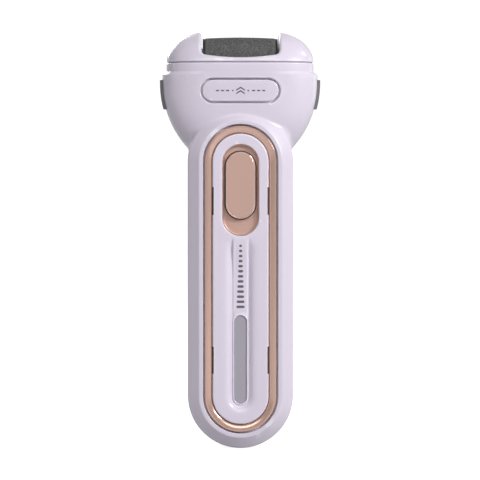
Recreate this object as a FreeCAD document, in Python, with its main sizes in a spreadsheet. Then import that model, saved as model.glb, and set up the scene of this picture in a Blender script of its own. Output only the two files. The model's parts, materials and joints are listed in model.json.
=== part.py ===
import FreeCAD, Part
import math
import os

import Sketcher

# Cordless foot callus remover, millimetres.
# X runs to the right, the front face looks to -Y, Z runs up the handle.
# Origin: lowest level of the handle, on the centre plane, on the parting plane of the shells.
# A stadium handle carries a flared head, with a grinding roller across the top.

Vec = FreeCAD.Vector
AXIS = {"X": Vec(1, 0, 0), "Y": Vec(0, 1, 0)}
# Rotations that carry local z onto the named axis
TURN = {
    "X": FreeCAD.Rotation(Vec(0, 1, 0), 90),
    "Y": FreeCAD.Rotation(Vec(1, 0, 0), -90),
    "Z": FreeCAD.Rotation(),
}

doc = FreeCAD.newDocument("CallusRemover")
sheet = doc.addObject("Spreadsheet::Sheet", "Sizes")
size = {}       # alias -> value, the same numbers as in the sheet
pieces = []     # finished pieces, in export order


def cell(alias, value):
    """One driving dimension: name in column A, value in column B."""
    row = len(size) + 1
    sheet.set("A%d" % row, alias)
    sheet.set("B%d" % row, repr(float(value)))
    sheet.setAlias("B%d" % row, alias)
    size[alias] = float(value)


# ---- driving dimensions ----------------------------------------------------
# "front", "back" and "depth" values are distances from the plane Y = 0.
for alias, value in (
    # handle
    ("handle_radius", 22.0), ("handle_low", 22.0), ("handle_high", 119.6),
    ("side_front", 12.5), ("plateau_radius", 17.3), ("plateau_front", 16.0),
    ("back_depth", 17.2), ("back_round", 11.0), ("wall", 2.0),
    ("pocket_radius", 15.6), ("pocket_back", 13.6), ("floor_back", 12.0),
    ("floor_open_radius", 9.5),
    # flared head and cap
    ("flare_radius", 39.3), ("flare_inset", 6.7), ("flare_centre", 152.1),
    ("ledge_low", 156.0), ("ledge_high", 157.2), ("collar_half", 30.9),
    ("body_top", 160.75), ("cap_bottom", 161.25), ("cap_wall", 1.8),
    ("cap_top", 174.1),
    # roller and gear train
    ("roller_y", -1.0), ("roller_z", 161.8), ("roller_radius", 10.0),
    ("roller_half", 14.9), ("roller_crown", 0.45), ("sleeve_bore", 8.0),
    ("axle_radius", 1.5), ("end_plate_thick", 0.8),
    ("gear_module", 0.5), ("idler_y", 0.4), ("motor_y", 1.9),
    ("shaft_radius", 1.0), ("frame_screw_offset", 6.0),
    ("pinion_teeth", 12), ("wheel_teeth", 32), ("drive_teeth", 18),
    ("roller_teeth", 28),
    # cap opening
    ("opening_half", 16.2), ("lip_mid", 163.0), ("lip_corner", 164.4),
    ("rear_lip", 166.4),
    # release button (pill)
    ("pill_z", 149.1), ("pill_half", 15.85), ("pill_radius", 4.45),
    ("pill_gap", 0.8),
    # front trim
    ("panel_radius", 11.8), ("panel_front", 16.2), ("panel_edge_round", 0.5),
    ("ring_inner", 11.9), ("ring_outer", 14.8), ("ring_front", 16.1), ("ring_round", 1.2),
    ("tray_radius", 7.65), ("tray_low", 96.1), ("tray_high", 119.2),
    ("tray_back", 13.0), ("tray_front", 14.1), ("tray_gap", 0.1),
    ("knob_radius", 6.7), ("knob_low", 101.6), ("knob_high", 117.6),
    ("knob_back", 14.3), ("knob_front", 17.2), ("knob_chamfer", 1.15),
    ("stem_back", 12.8), ("stem_overlap", 0.5),
    ("lens_radius", 2.6), ("lens_low", 20.8), ("lens_high", 52.5),
    ("lens_back", 14.0), ("lens_thick", 1.5), ("lens_gap", 0.05),
    ("guide_back", 12.1), ("guide_thick", 1.8),
    # circuit board
    ("board_back", 9.0), ("board_thick", 1.2),
    # side buttons
    ("side_low", 141.6), ("side_high", 153.8), ("side_front_y", -5.0),
    ("side_back_y", 3.6), ("side_proud", 1.1),
    # screws between the shells: head seat on the rear side
    ("screw_seat", 6.0),
):
    cell(alias, value)


def mesh_z(upper, upper_teeth, lower, lower_teeth):
    """Height of the lower gear centre, set by the pitch radii of the pair."""
    distance = size["gear_module"] * (size[upper_teeth] + size[lower_teeth]) / 2
    across = size[lower + "_y"] - size[upper + "_y"]
    return round(size[upper + "_z"] - math.sqrt(distance ** 2 - across ** 2), 3)


cell("idler_z", mesh_z("roller", "roller_teeth", "idler", "drive_teeth"))
cell("motor_z", mesh_z("idler", "wheel_teeth", "motor", "pinion_teeth"))

# Centre lines along X, as formulas for (y, z)
MOTOR = ("Sizes.motor_y", "Sizes.motor_z")
IDLER = ("Sizes.idler_y", "Sizes.idler_z")
ROLLER = ("Sizes.roller_y", "Sizes.roller_z")

REACH = 60.0    # half width of cutting blocks, beyond every piece


# ---- bound document objects --------------------------------------------------
def bind(obj, prop, value, alias):
    """Tie a property to a new sheet cell; a string is a formula that uses cells."""
    if not isinstance(value, str):
        cell(alias, value)
        value = "Sizes." + alias
    obj.setExpression(prop, value)


def place(obj, name, axis, x, y, z):
    obj.Placement = FreeCAD.Placement(Vec(0, 0, 0), TURN[axis])
    for key, value in (("x", x), ("y", y), ("z", z)):
        if isinstance(value, str) or abs(value) > 1e-12:
            bind(obj, "Placement.Base." + key, value, name + "_p" + key)


def cylinder(name, axis, x, y, z, radius, length):
    obj = doc.addObject("Part::Cylinder", name)
    bind(obj, "Radius", radius, name + "_rad")
    bind(obj, "Height", length, name + "_len")
    place(obj, name, axis, x, y, z)
    return obj


def cylinder_on(centre, name, x, radius, length):
    """Cylinder along X from x, on one of the centre lines."""
    return cylinder(name, "X", x, centre[0], centre[1], radius, length)


def box(name, x0, x1, y0, y1, z0, z1):
    obj = doc.addObject("Part::Box", name)
    bind(obj, "Length", x1 - x0, name + "_dx")
    bind(obj, "Width", y1 - y0, name + "_dy")
    bind(obj, "Height", z1 - z0, name + "_dz")
    place(obj, name, "Z", x0, y0, z0)
    return obj


def cut(name, base, tool):
    obj = doc.addObject("Part::Cut", name)
    obj.Base, obj.Tool = base, tool
    return obj


def fuse(name, *shapes):
    obj = doc.addObject("Part::MultiFuse", name)
    obj.Shapes = list(shapes)
    return obj


def common(name, base, tool):
    obj = doc.addObject("Part::Common", name)
    obj.Base, obj.Tool = base, tool
    return obj


def group(name, *objs):
    """Several separate solids that are one kind of piece."""
    obj = doc.addObject("Part::Compound", name)
    obj.Links = list(objs)
    return obj


def feature(name, shape):
    obj = doc.addObject("Part::Feature", name)
    obj.Shape = shape
    obj.Placement = shape.Placement
    return obj


def piece(obj, label):
    """Name a finished piece and put it on the export list."""
    obj.Label = label
    pieces.append(obj)


# ---- bodies from padded sketches ---------------------------------------------
Constrain = Sketcher.Constraint


def new_body(name):
    return doc.addObject("PartDesign::Body", name)


def new_sketch(body, name, role):
    """Sketch attached to the origin plane of the body that has this role."""
    sketch = body.newObject("Sketcher::SketchObject", name)
    planes = [item for item in body.Origin.OriginFeatures if item.Role == role]
    sketch.AttachmentSupport = [(planes[0], "")]
    sketch.MapMode = "FlatFace"
    return sketch


def name_constraint(sketch, constraint, name, expression):
    index = sketch.addConstraint(constraint)
    sketch.renameConstraint(index, name)
    sketch.setExpression("Constraints." + name, expression)


def stadium_outline(sketch, tag, radius_alias, span, gap_alias=None):
    """Upright stadium on the vertical axis: two arcs and two tangent sides.

    The arc centres stand at the cells span_low and span_high.
    """
    low_alias, high_alias = span + "_low", span + "_high"
    low, high = size[low_alias], size[high_alias]
    radius, radius_formula = size[radius_alias], "Sizes." + radius_alias
    if gap_alias:
        radius += size[gap_alias]
        radius_formula += " + Sizes." + gap_alias
    normal = Vec(0, 0, 1)
    top_circle = Part.Circle(Vec(0, high, 0), normal, radius)
    low_circle = Part.Circle(Vec(0, low, 0), normal, radius)
    top = sketch.addGeometry(Part.ArcOfCircle(top_circle, 0, math.pi), False)
    foot = sketch.addGeometry(Part.ArcOfCircle(low_circle, math.pi, 2 * math.pi), False)
    left = sketch.addGeometry(
        Part.LineSegment(Vec(-radius, high, 0), Vec(-radius, low, 0)), False)
    right = sketch.addGeometry(
        Part.LineSegment(Vec(radius, low, 0), Vec(radius, high, 0)), False)
    for first, second in ((top, left), (left, foot), (foot, right), (right, top)):
        sketch.addConstraint(Constrain("Tangent", first, 2, second, 1))
    sketch.addConstraint(Constrain("PointOnObject", top, 3, -2))
    sketch.addConstraint(Constrain("PointOnObject", foot, 3, -2))
    sketch.addConstraint(Constrain("Vertical", left))
    name_constraint(sketch, Constrain("Radius", top, radius), tag + "_radius", radius_formula)
    name_constraint(sketch, Constrain("DistanceY", -1, 1, foot, 3, low),
                    tag + "_low", "Sizes." + low_alias)
    name_constraint(sketch, Constrain("DistanceY", -1, 1, top, 3, high),
                    tag + "_high", "Sizes." + high_alias)


def rect_outline(sketch, tag, u0, u1, v0, v1):
    """Rectangle from (u0, v0) to (u1, v1), each side with its own cell."""
    corners = [Vec(u0, v0, 0), Vec(u1, v0, 0), Vec(u1, v1, 0), Vec(u0, v1, 0)]
    lines = [sketch.addGeometry(Part.LineSegment(corners[i], corners[(i + 1) % 4]), False)
             for i in range(4)]
    for i in range(4):
        sketch.addConstraint(Constrain("Coincident", lines[i], 2, lines[(i + 1) % 4], 1))
    for i, kind in enumerate(("Horizontal", "Vertical", "Horizontal", "Vertical")):
        sketch.addConstraint(Constrain(kind, lines[i]))
    for kind, i, end, value, side in (
        ("DistanceX", 0, 1, u0, "u0"), ("DistanceX", 1, 2, u1, "u1"),
        ("DistanceY", 0, 1, v0, "v0"), ("DistanceY", 1, 2, v1, "v1"),
    ):
        alias = "_".join((sketch.Name.lower(), tag, side))
        cell(alias, value)
        # distances stay positive: measured from the lower to the higher point
        if value >= 0:
            distance = Constrain(kind, -1, 1, lines[i], end, value)
            formula = "Sizes." + alias
        else:
            distance = Constrain(kind, lines[i], end, -1, 1, -value)
            formula = "-1 * Sizes." + alias
        name_constraint(sketch, distance, tag + "_" + side, formula)


def add_pad(body, prefix, back, depth, *outlines):
    """Pad outlines forward by depth from the plane Y = -back; both are formulas.

    Each outline is a drawing function followed by its arguments.
    """
    sketch = new_sketch(body, prefix + "Outline", "XZ_Plane")
    sketch.setExpression("AttachmentOffset.Base.z", back)
    for draw, *values in outlines:
        draw(sketch, *values)
    pad = body.newObject("PartDesign::Pad", prefix + "Pad")
    pad.Profile = sketch
    pad.setExpression("Length", depth)
    return pad


def at_depth(shape, y, first=0):
    """Edges that lie in the plane Y = y."""
    return [edge for edge in shape.Edges
            if abs(edge.BoundBox.YMin - y) < 1e-5 and abs(edge.BoundBox.YMax - y) < 1e-5]


def half_reach(edge):
    """Greatest distance of the edge from the centre plane X = 0."""
    return max(abs(edge.BoundBox.XMin), abs(edge.BoundBox.XMax))


def dress_front(body, name, kind, pad, front_alias, size_alias, min_reach=0.0):
    """Fillet or chamfer the front edges of a pad that reach out to min_reach."""
    doc.recompute()
    wanted = [edge for edge in at_depth(pad.Shape, -size[front_alias])
              if half_reach(edge) >= min_reach]
    names = ["Edge%d" % number for number, edge in enumerate(pad.Shape.Edges, 1)
             if any(edge.isSame(other) for other in wanted)]
    dressing = body.newObject("PartDesign::" + kind, name)
    dressing.Base = (pad, names)
    dressing.setExpression("Radius" if kind == "Fillet" else "Size", "Sizes." + size_alias)


# ---- plain shapes --------------------------------------------------------------
def prism(wire, vector):
    return Part.Face(wire).extrude(vector)


def stadium(radius, y):
    """Upright stadium wire of the handle in the plane Y = y."""
    low, high = size["handle_low"], size["handle_high"]
    return Part.Wire([
        Part.Arc(Vec(radius, y, high), Vec(0, y, high + radius), Vec(-radius, y, high)).toShape(),
        Part.LineSegment(Vec(-radius, y, high), Vec(-radius, y, low)).toShape(),
        Part.Arc(Vec(-radius, y, low), Vec(0, y, low - radius), Vec(radius, y, low)).toShape(),
        Part.LineSegment(Vec(radius, y, low), Vec(radius, y, high)).toShape()])


def stadium_prism(radius, y, depth):
    return prism(stadium(radius, y), Vec(0, depth, 0))


def pill_prism(grow, y, depth):
    """Lying stadium of the release button, grown all round, extruded along Y."""
    radius = size["pill_radius"] + grow
    end = size["pill_half"] + grow
    centre = end - radius
    z = size["pill_z"]
    low, high = z - radius, z + radius
    wire = Part.Wire([
        Part.LineSegment(Vec(-centre, y, low), Vec(centre, y, low)).toShape(),
        Part.Arc(Vec(centre, y, low), Vec(end, y, z), Vec(centre, y, high)).toShape(),
        Part.LineSegment(Vec(centre, y, high), Vec(-centre, y, high)).toShape(),
        Part.Arc(Vec(-centre, y, high), Vec(-end, y, z), Vec(-centre, y, low)).toShape()])
    return prism(wire, Vec(0, depth, 0))


def cuboid(x0, x1, y0, y1, z0, z1):
    return Part.makeBox(x1 - x0, y1 - y0, z1 - z0, Vec(x0, y0, z0))


def slab(y0, y1, z0, z1):
    """Cutting block across the whole width."""
    return cuboid(-REACH, REACH, y0, y1, z0, z1)


def rod(axis, x, y, z, radius, length):
    return Part.makeCylinder(radius, length, Vec(x, y, z), AXIS[axis])


def span(side, near, far):
    """Low and high x of a stretch near..far from the centre, on side -1 or +1."""
    return (near, far) if side > 0 else (-far, -near)


def biggest(shape):
    return max(shape.Solids, key=lambda solid: solid.Volume)


def at_height(shape, z):
    """Edges that lie in the plane Z = z."""
    return [edge for edge in shape.Edges
            if abs(edge.BoundBox.ZMin - z) < 0.02 and abs(edge.BoundBox.ZMax - z) < 0.02]


def midpoint(edge):
    return edge.valueAt((edge.FirstParameter + edge.LastParameter) / 2)


def borders_spline(shape, edge, above=float("-inf")):
    """True where exactly one of two faces is a spline face that rises above a height."""
    owners = shape.ancestorsOfType(edge, Part.Face)
    marks = [face.Surface.TypeId == "Part::GeomBSplineSurface" and face.BoundBox.ZMax > above
             for face in owners]
    return len(owners) == 2 and marks.count(True) == 1


def soften(shape, edges, radii):
    """Fillet with the first radius that gives a sound solid."""
    for radius in radii:
        if not edges:
            break
        # A radius can be too large for the kernel: then the next one is taken
        try:
            done = shape.makeFillet(radius, edges)
            sound = done.isValid() and len(done.Solids) == 1
            if sound and abs(done.Volume / shape.Volume - 1) < 0.05:
                return done
        except Exception:
            pass
    return shape


# ---- superellipse sections of the head -------------------------------------------
SECTION_POINTS = 10     # points per quarter section
SECTION_STEPS = 240     # fine steps that measure the length of a quarter


def section(z, half, front, back, power):
    """Closed superellipse at height z, half wide, front and back deep."""
    points = []
    for quarter in range(4):
        raw = []
        for i in range(SECTION_STEPS + 1):
            angle = (quarter + i / float(SECTION_STEPS)) * math.pi / 2 + math.pi / 2
            cosine, sine = math.cos(angle), math.sin(angle)
            depth = back if sine >= 0 else front
            raw.append((half * math.copysign(abs(cosine) ** (2.0 / power), cosine),
                        depth * math.copysign(abs(sine) ** (2.0 / power), sine)))
        run = [0.0]
        for (xa, ya), (xb, yb) in zip(raw, raw[1:]):
            run.append(run[-1] + math.hypot(xb - xa, yb - ya))
        # points at equal lengths along the quarter
        k = 0
        for j in range(SECTION_POINTS):
            want = run[-1] * j / SECTION_POINTS
            while run[k + 1] < want:
                k += 1
            part = (want - run[k]) / (run[k + 1] - run[k])
            points.append(Vec(raw[k][0] + part * (raw[k + 1][0] - raw[k][0]),
                              raw[k][1] + part * (raw[k + 1][1] - raw[k][1]), z))
    curve = Part.BSplineCurve()
    curve.interpolate(Points=points, PeriodicFlag=True)
    return Part.Wire([curve.toShape()])


def read_table(table, z):
    """Smooth cubic (Catmull-Rom style) reading of a table of (z, value)."""
    last = len(table) - 1
    if z <= table[0][0]:
        return table[0][1]
    if z >= table[last][0]:
        return table[last][1]
    i = next(k for k in range(last) if table[k][0] <= z <= table[k + 1][0])

    def slope(k):
        before, after = table[max(k - 1, 0)], table[min(k + 1, last)]
        return (after[1] - before[1]) / (after[0] - before[0])

    step = table[i + 1][0] - table[i][0]
    t = (z - table[i][0]) / step
    return ((2 * t ** 3 - 3 * t ** 2 + 1) * table[i][1]
            + (t ** 3 - 2 * t ** 2 + t) * slope(i) * step
            + (-2 * t ** 3 + 3 * t ** 2) * table[i + 1][1]
            + (t ** 3 - t ** 2) * slope(i + 1) * step)


# Head depth from Y = 0 to the front and to the back: (z, depth)
HEAD_FRONT = (
    (118.0, 0.5), (122.0, 4.0), (126.0, 8.4), (130.0, 11.3), (134.0, 13.1),
    (138.0, 14.2), (141.0, 14.6), (145.0, 14.9), (150.0, 15.0), (162.0, 15.0))
HEAD_BACK = (
    (118.0, 0.5), (122.0, 3.5), (126.0, 7.8), (130.0, 10.8), (135.0, 13.0),
    (140.0, 14.2), (145.0, 14.8), (150.0, 15.0), (162.0, 15.0))
HEAD_POWER = 3.0
FLARE_LEVELS = (124.0, 128.0, 132.0, 136.0, 140.0, 144.5, 149.5)
LEDGE_DROP = 0.4    # the ledge of a shrunk head sinks by this share of the shrink


def head_section(z, shrink, half=None):
    """Head outline at z; without a given half width it follows the flare arc."""
    if half is None:
        below = min(z, size["flare_centre"]) - size["flare_centre"]
        half = math.sqrt(size["flare_radius"] ** 2 - below ** 2) - size["flare_inset"]
    return section(z, half - shrink, read_table(HEAD_FRONT, z) - shrink,
                   read_table(HEAD_BACK, z) - shrink, HEAD_POWER)


def head_solid(shrink, low, top=size["body_top"]):
    """The flared head below the cap, from low to top; a negative shrink grows it."""
    ledge_low = size["ledge_low"] - LEDGE_DROP * shrink
    ledge_high = size["ledge_high"] - LEDGE_DROP * shrink
    collar_half = size["collar_half"]
    levels = [low] + [z for z in FLARE_LEVELS if z > low + 1.0] + [ledge_low]
    flare = Part.makeLoft([head_section(z, shrink) for z in levels], True, False, False)
    ledge = Part.makeLoft([head_section(ledge_low, shrink),
                           head_section(ledge_high, shrink, collar_half)], True, True, False)
    collar = Part.makeLoft([head_section(ledge_high, shrink, collar_half),
                            head_section(top, shrink, collar_half)], True, True, False)
    return flare.fuse([ledge, collar])


def collar_ring(z, outer_shrink, inner_shrink, height):
    """Upright band that follows the collar outline."""
    up = Vec(0, 0, height)
    return prism(head_section(z, outer_shrink, size["collar_half"]), up).cut(
        prism(head_section(z, inner_shrink, size["collar_half"]), up))


# ---- outer form and inner space ----------------------------------------------------
OUTER_HEAD_LOW = 119.5      # lowest level of the outer head, sunk in the handle
INNER_HEAD_LOW = 122.0      # the same for the space inside
CLEAR_HEAD_LOW = 122.5      # the same for the inside space with clearance
INNER_HEAD_TOP = 164.0      # the space runs out through the open top
CLEAR_HEAD_TOP = 163.0


def rounded_prism(radius, y_front, y_back, back_round):
    """Handle prism with its back edge rounded."""
    solid = stadium_prism(radius, y_front, y_back - y_front)
    return solid.makeFillet(back_round, at_depth(solid, y_back))


def handle_solid(shrink):
    """Handle behind the front bevel."""
    return rounded_prism(size["handle_radius"] - shrink, -size["side_front"],
                         size["back_depth"] - shrink, size["back_round"] - shrink)


def blend_neck(shape):
    """Soft blend where the flared head meets the handle."""
    edges = [edge for edge in shape.Edges
             if edge.BoundBox.ZMin >= 121 and edge.BoundBox.ZMax <= 146
             and borders_spline(shape, edge, above=140)]
    if not edges:
        return shape
    for radius in (2.6, 2.0, 1.5, 1.0, 0.6):
        # A radius can be too large for the kernel: then the next one is taken
        try:
            done = shape.makeFillet(radius, edges)
            if done.isValid() and done.Volume > shape.Volume * 0.98:
                return done
        except Exception:
            pass
    return shape


def make_outer():
    """Outside of the closed shells: handle, front bevel and head."""
    side_y, plateau_y = -size["side_front"], -size["plateau_front"]
    bevel = Part.makeLoft([stadium(size["handle_radius"], side_y),
                           stadium(size["plateau_radius"], plateau_y)], True, True, False)
    handle = handle_solid(0.0).fuse(bevel).removeSplitter()
    handle = soften(handle, at_depth(handle, side_y), (1.6, 1.0))
    handle = soften(handle, at_depth(handle, plateau_y), (0.9, 0.5))
    outer = blend_neck(handle.fuse(head_solid(0.0, OUTER_HEAD_LOW)))
    outer = soften(outer, at_height(outer, size["ledge_low"]), (0.5, 0.3))
    outer = soften(outer, at_height(outer, size["ledge_high"]), (0.5, 0.3))
    return soften(outer, at_height(outer, size["body_top"]), (0.4, 0.25))


def make_inner():
    """Space inside the shells."""
    wall = size["wall"]
    handle = rounded_prism(size["handle_radius"] - wall, -size["floor_back"],
                           size["back_depth"] - wall, size["back_round"] - wall)
    return handle.fuse(head_solid(wall, INNER_HEAD_LOW, INNER_HEAD_TOP))


def head_space(clearance):
    """The space inside the head with a further clearance."""
    return head_solid(size["wall"] + clearance, CLEAR_HEAD_LOW, CLEAR_HEAD_TOP)


outer_form = make_outer()
inner_form = make_inner()
clear_space = head_space(0.35)
deck_space = head_space(0.05)

# ---- shells ------------------------------------------------------------------------
GROOVE_HALF = 0.16      # half height across the parting plane
GROOVE_DEPTH = 0.3
BOSS_SPOTS = [(x, z) for z in (26.0, 104.0) for x in (-14.2, 14.2)]
FRONT_BOSS_RADIUS, FRONT_BOSS_LENGTH = 2.7, 12.3
REAR_BOSS_RADIUS, REAR_BOSS_LENGTH = 3.3, 14.0
REAR_BOSS_TRIM = 0.5    # rear bosses end this far inside the outer surface
PORT_Y = -7.4           # centre of the charge port at the foot of the handle
SIDE_GAP = 0.2          # round each side button


def bosses_holes(y, radius, length):
    """Rods along Y on the four boss spots."""
    return [rod("Y", x, y, z, radius, length) for x, z in BOSS_SPOTS]


def port_block(width, depth, z_low, height, corner):
    """Upright block with rounded vertical edges, on the charge port centre."""
    block = Part.makeBox(width, depth, height, Vec(-width / 2, PORT_Y - depth / 2, z_low))
    return block.makeFillet(
        corner, [edge for edge in block.Edges if edge.BoundBox.ZLength > height / 2])


def side_openings():
    openings = []
    for side in (-1, 1):
        x0, x1 = span(side, 24, 36)
        openings.append(cuboid(
            x0, x1, size["side_front_y"] - SIDE_GAP, size["side_back_y"] + SIDE_GAP,
            size["side_low"] - SIDE_GAP, size["side_high"] + SIDE_GAP))
    return openings


def make_shells():
    shell = outer_form.cut(inner_form)
    # parting groove round both shells
    slim = handle_solid(GROOVE_DEPTH).fuse(head_solid(GROOVE_DEPTH, 120.0, 161.5))
    shell = shell.cut(slab(-GROOVE_HALF, GROOVE_HALF, -5, 158.5).cut(slim))

    # screw bosses tie the two shells together
    front_bosses = bosses_holes(-FRONT_BOSS_LENGTH, FRONT_BOSS_RADIUS, FRONT_BOSS_LENGTH)
    rear_bosses = bosses_holes(0.0, REAR_BOSS_RADIUS, REAR_BOSS_LENGTH)
    rear_limit = handle_solid(REAR_BOSS_TRIM)
    front = shell.common(slab(-30, 0, -5, 190)).fuse(front_bosses)
    rear = shell.common(slab(0, 30, -5, 190)).fuse(
        [boss.common(rear_limit) for boss in rear_bosses])

    # openings and screw holes
    pocket = stadium_prism(size["pocket_radius"], -size["pocket_back"], -6)
    floor_opening = stadium_prism(size["floor_open_radius"], -size["floor_back"] + 1.0, -4)
    pill_opening = pill_prism(size["pill_gap"], -11.5, -8)
    port_opening = port_block(9.6, 3.8, -2.0, 6.0, 1.89)
    side_tools = side_openings()
    front = biggest(front.cut([pocket, floor_opening, pill_opening, port_opening]
                              + side_tools + bosses_holes(-10.5, 1.1, 12)))
    rear = biggest(rear.cut(side_tools + bosses_holes(-1, 1.3, 20)
                            + bosses_holes(size["screw_seat"], 2.5, 14)))

    # soft rims of the pocket and of the pill opening
    front = soften(front, at_depth(front, -size["plateau_front"]), (0.35, 0.2))
    rim = []
    for edge in front.Edges:
        middle = midpoint(edge)
        near_pill = abs(middle.x) < 17 and middle.y < -13.9 and 143.5 < middle.z < 154.6
        if near_pill and borders_spline(front, edge):
            rim.append(edge)
    front = soften(front, rim, (0.4, 0.25))
    piece(feature("FrontShell", biggest(front)), "front_shell")
    piece(feature("RearShell", rear), "rear_shell")


make_shells()


# ---- front trim (padded sketches) ----------------------------------------------------
def make_front_panel():
    """Long panel with holes for the switch tray and the lens."""
    body = new_body("FrontPanel")
    pad = add_pad(body, "Panel", "Sizes.pocket_back", "Sizes.panel_front - Sizes.pocket_back",
                  (stadium_outline, "edge", "panel_radius", "handle"),
                  (stadium_outline, "tray", "tray_radius", "tray", "tray_gap"),
                  (stadium_outline, "lens", "lens_radius", "lens", "lens_gap"))
    dress_front(body, "PanelEdge", "Fillet", pad, "panel_front", "panel_edge_round",
                min_reach=size["panel_radius"] - 0.01)
    piece(body, "front_panel")


def make_trim_ring():
    """Rounded ring round the panel."""
    body = new_body("TrimRing")
    pad = add_pad(body, "Ring", "Sizes.pocket_back", "Sizes.ring_front - Sizes.pocket_back",
                  (stadium_outline, "outside", "ring_outer", "handle"),
                  (stadium_outline, "inside", "ring_inner", "handle"))
    dress_front(body, "RingRound", "Fillet", pad, "ring_front", "ring_round")
    piece(body, "trim_ring")


def make_switch_tray():
    """Flat tray under the knob, slotted for its stem."""
    body = new_body("SwitchTray")
    add_pad(body, "Tray", "Sizes.tray_back", "Sizes.tray_front - Sizes.tray_back",
            (stadium_outline, "edge", "tray_radius", "tray"),
            (rect_outline, "stem", -2.7, 2.7, 100.2, 113.3))
    piece(body, "switch_tray")


def make_slider_knob():
    """Chamfered knob with a stem towards the back."""
    body = new_body("SliderKnob")
    pad = add_pad(body, "Knob", "Sizes.knob_back", "Sizes.knob_front - Sizes.knob_back",
                  (stadium_outline, "edge", "knob_radius", "knob"))
    dress_front(body, "KnobChamfer", "Chamfer", pad, "knob_front", "knob_chamfer")
    add_pad(body, "Stem", "Sizes.stem_back",
            "Sizes.knob_back - Sizes.stem_back + Sizes.stem_overlap",
            (rect_outline, "stem", -2.5, 2.5, 105.4, 113.1))
    piece(body, "slider_knob")


def make_plain_body(name, label, prefix, back, thick, outline):
    """Body with a single pad."""
    body = new_body(name)
    add_pad(body, prefix, "Sizes." + back, "Sizes." + thick, outline)
    piece(body, label)


make_front_panel()
make_trim_ring()
make_switch_tray()
make_slider_knob()
make_plain_body("IndicatorLens", "indicator_lens", "Lens", "lens_back", "lens_thick",
                (stadium_outline, "edge", "lens_radius", "lens"))
make_plain_body("LightGuide", "light_guide", "Guide", "guide_back", "guide_thick",
                (rect_outline, "edge", -2.2, 2.2, 20.0, 53.0))
make_plain_body("CircuitBoard", "circuit_board", "Board", "board_back", "board_thick",
                (rect_outline, "edge", -9.0, 9.0, 6.0, 112.0))

# ---- electronics ---------------------------------------------------------------------
BOARD_REAR_Y = -size["board_back"]
BOARD_FRONT_Y = BOARD_REAR_Y - size["board_thick"]
LED_LEVELS = (24.0, 32.0, 40.0, 48.0)
LED_SIDE, LED_DEPTH = 1.6, 0.9
# Chips on the rear face of the board: name, x0, x1, rear y, z0, z1
CHIPS = (
    ("ChargeChip", -2.5, 2.5, -7.5, 14.0, 19.0),
    ("MotorDriver", -3.0, 3.0, -7.4, 94.0, 99.0),
    ("StoreCap", 4.2, 7.2, -6.9, 78.0, 84.0),
    ("SenseResistor", -7.0, -4.6, -8.3, 90.0, 91.4),
)
CELL_Y = 4.6            # battery cell centre line
WIRE_RADIUS = 0.6
# Points (x, y, z) along each wire
BATTERY_WIRES = (
    ((3.0, 4.6, 87.8), (5.0, 2.0, 91.0), (6.2, -3.0, 93.5), (6.6, -8.2, 101.0)),
    ((-6.0, 4.6, 21.4), (-8.4, 1.0, 18.2), (-8.0, -4.0, 17.0), (-7.4, -8.2, 15.0)),
)
MOTOR_WIRES = (
    ((-16.0, 5.2, 139.5), (-17.2, 3.2, 132.0), (-12.0, -3.0, 122.0), (-5.0, -8.2, 110.0)),
    ((-16.0, -1.4, 139.5), (-17.2, -3.0, 132.5), (-9.0, -6.0, 121.0), (-1.5, -8.2, 108.0)),
)


def wire_run(points):
    """Round wire along a smooth path."""
    curve = Part.BSplineCurve()
    curve.interpolate([Vec(*point) for point in points])
    path = Part.Wire([curve.toShape()])
    start = curve.value(curve.FirstParameter)
    tangent = curve.tangent(curve.FirstParameter)[0]
    ring = Part.Wire([Part.Circle(start, tangent, WIRE_RADIUS).toShape()])
    return path.makePipeShell([ring], True, True)


def make_board_parts():
    switch = box("SwitchBlock", -3.6, 3.6, -11.6, BOARD_FRONT_Y, 102.2, 113.4)
    slot = box("SwitchSlot", -1.0, 1.0, -12.0, -10.8, 103.4, 112.4)
    piece(cut("SlideSwitch", switch, slot), "slide_switch_body")
    leds = [box("Led%d" % i, -LED_SIDE / 2, LED_SIDE / 2, BOARD_FRONT_Y - LED_DEPTH,
                BOARD_FRONT_Y, z, z + LED_SIDE) for i, z in enumerate(LED_LEVELS)]
    piece(group("IndicatorLeds", *leds), "indicator_leds")
    chips = [box(name, x0, x1, BOARD_REAR_Y, y1, z0, z1) for name, x0, x1, y1, z0, z1 in CHIPS]
    piece(group("ControlChips", *chips), "control_chips")


def make_charge_port():
    """Open-ended sleeve with a tongue, entered from below."""
    sleeve = port_block(8.94, 3.16, 0.9, 7.3, 1.56)
    hollow = port_block(8.34, 2.56, 0.6, 6.8, 1.26)
    piece(feature("ChargePort", sleeve.cut(hollow)), "charge_port")
    piece(box("PortTongue", -3.35, 3.35, -7.75, -7.05, 1.6, 7.4), "port_tongue")


def make_battery():
    can = cylinder("CellCan", "Z", 0, CELL_Y, 22.0, radius=9.2, length=64.2)
    tip = cylinder("CellTip", "Z", 0, CELL_Y, 86.0, radius=2.8, length=1.2)
    piece(fuse("BatteryCell", can, tip), "battery_cell")
    # pads between the cell and the rear shell
    pads = [box(name, -5, 5, 13.85, 15.15, z, z + 12) for name, z in (("PadLow", 28),
                                                                     ("PadHigh", 68))]
    piece(group("BatteryPads", *pads), "battery_pads")


make_board_parts()
make_charge_port()
make_battery()
for name, label, runs in (("BatteryWires", "battery_wires", BATTERY_WIRES),
                          ("MotorWires", "motor_wires", MOTOR_WIRES)):
    piece(feature(name, Part.makeCompound([wire_run(points) for points in runs])), label)


# ---- motor ---------------------------------------------------------------------------
BUSH_RADIUS = 3.0
BUSH_BORE = 1.04        # runs free on the shaft


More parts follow.
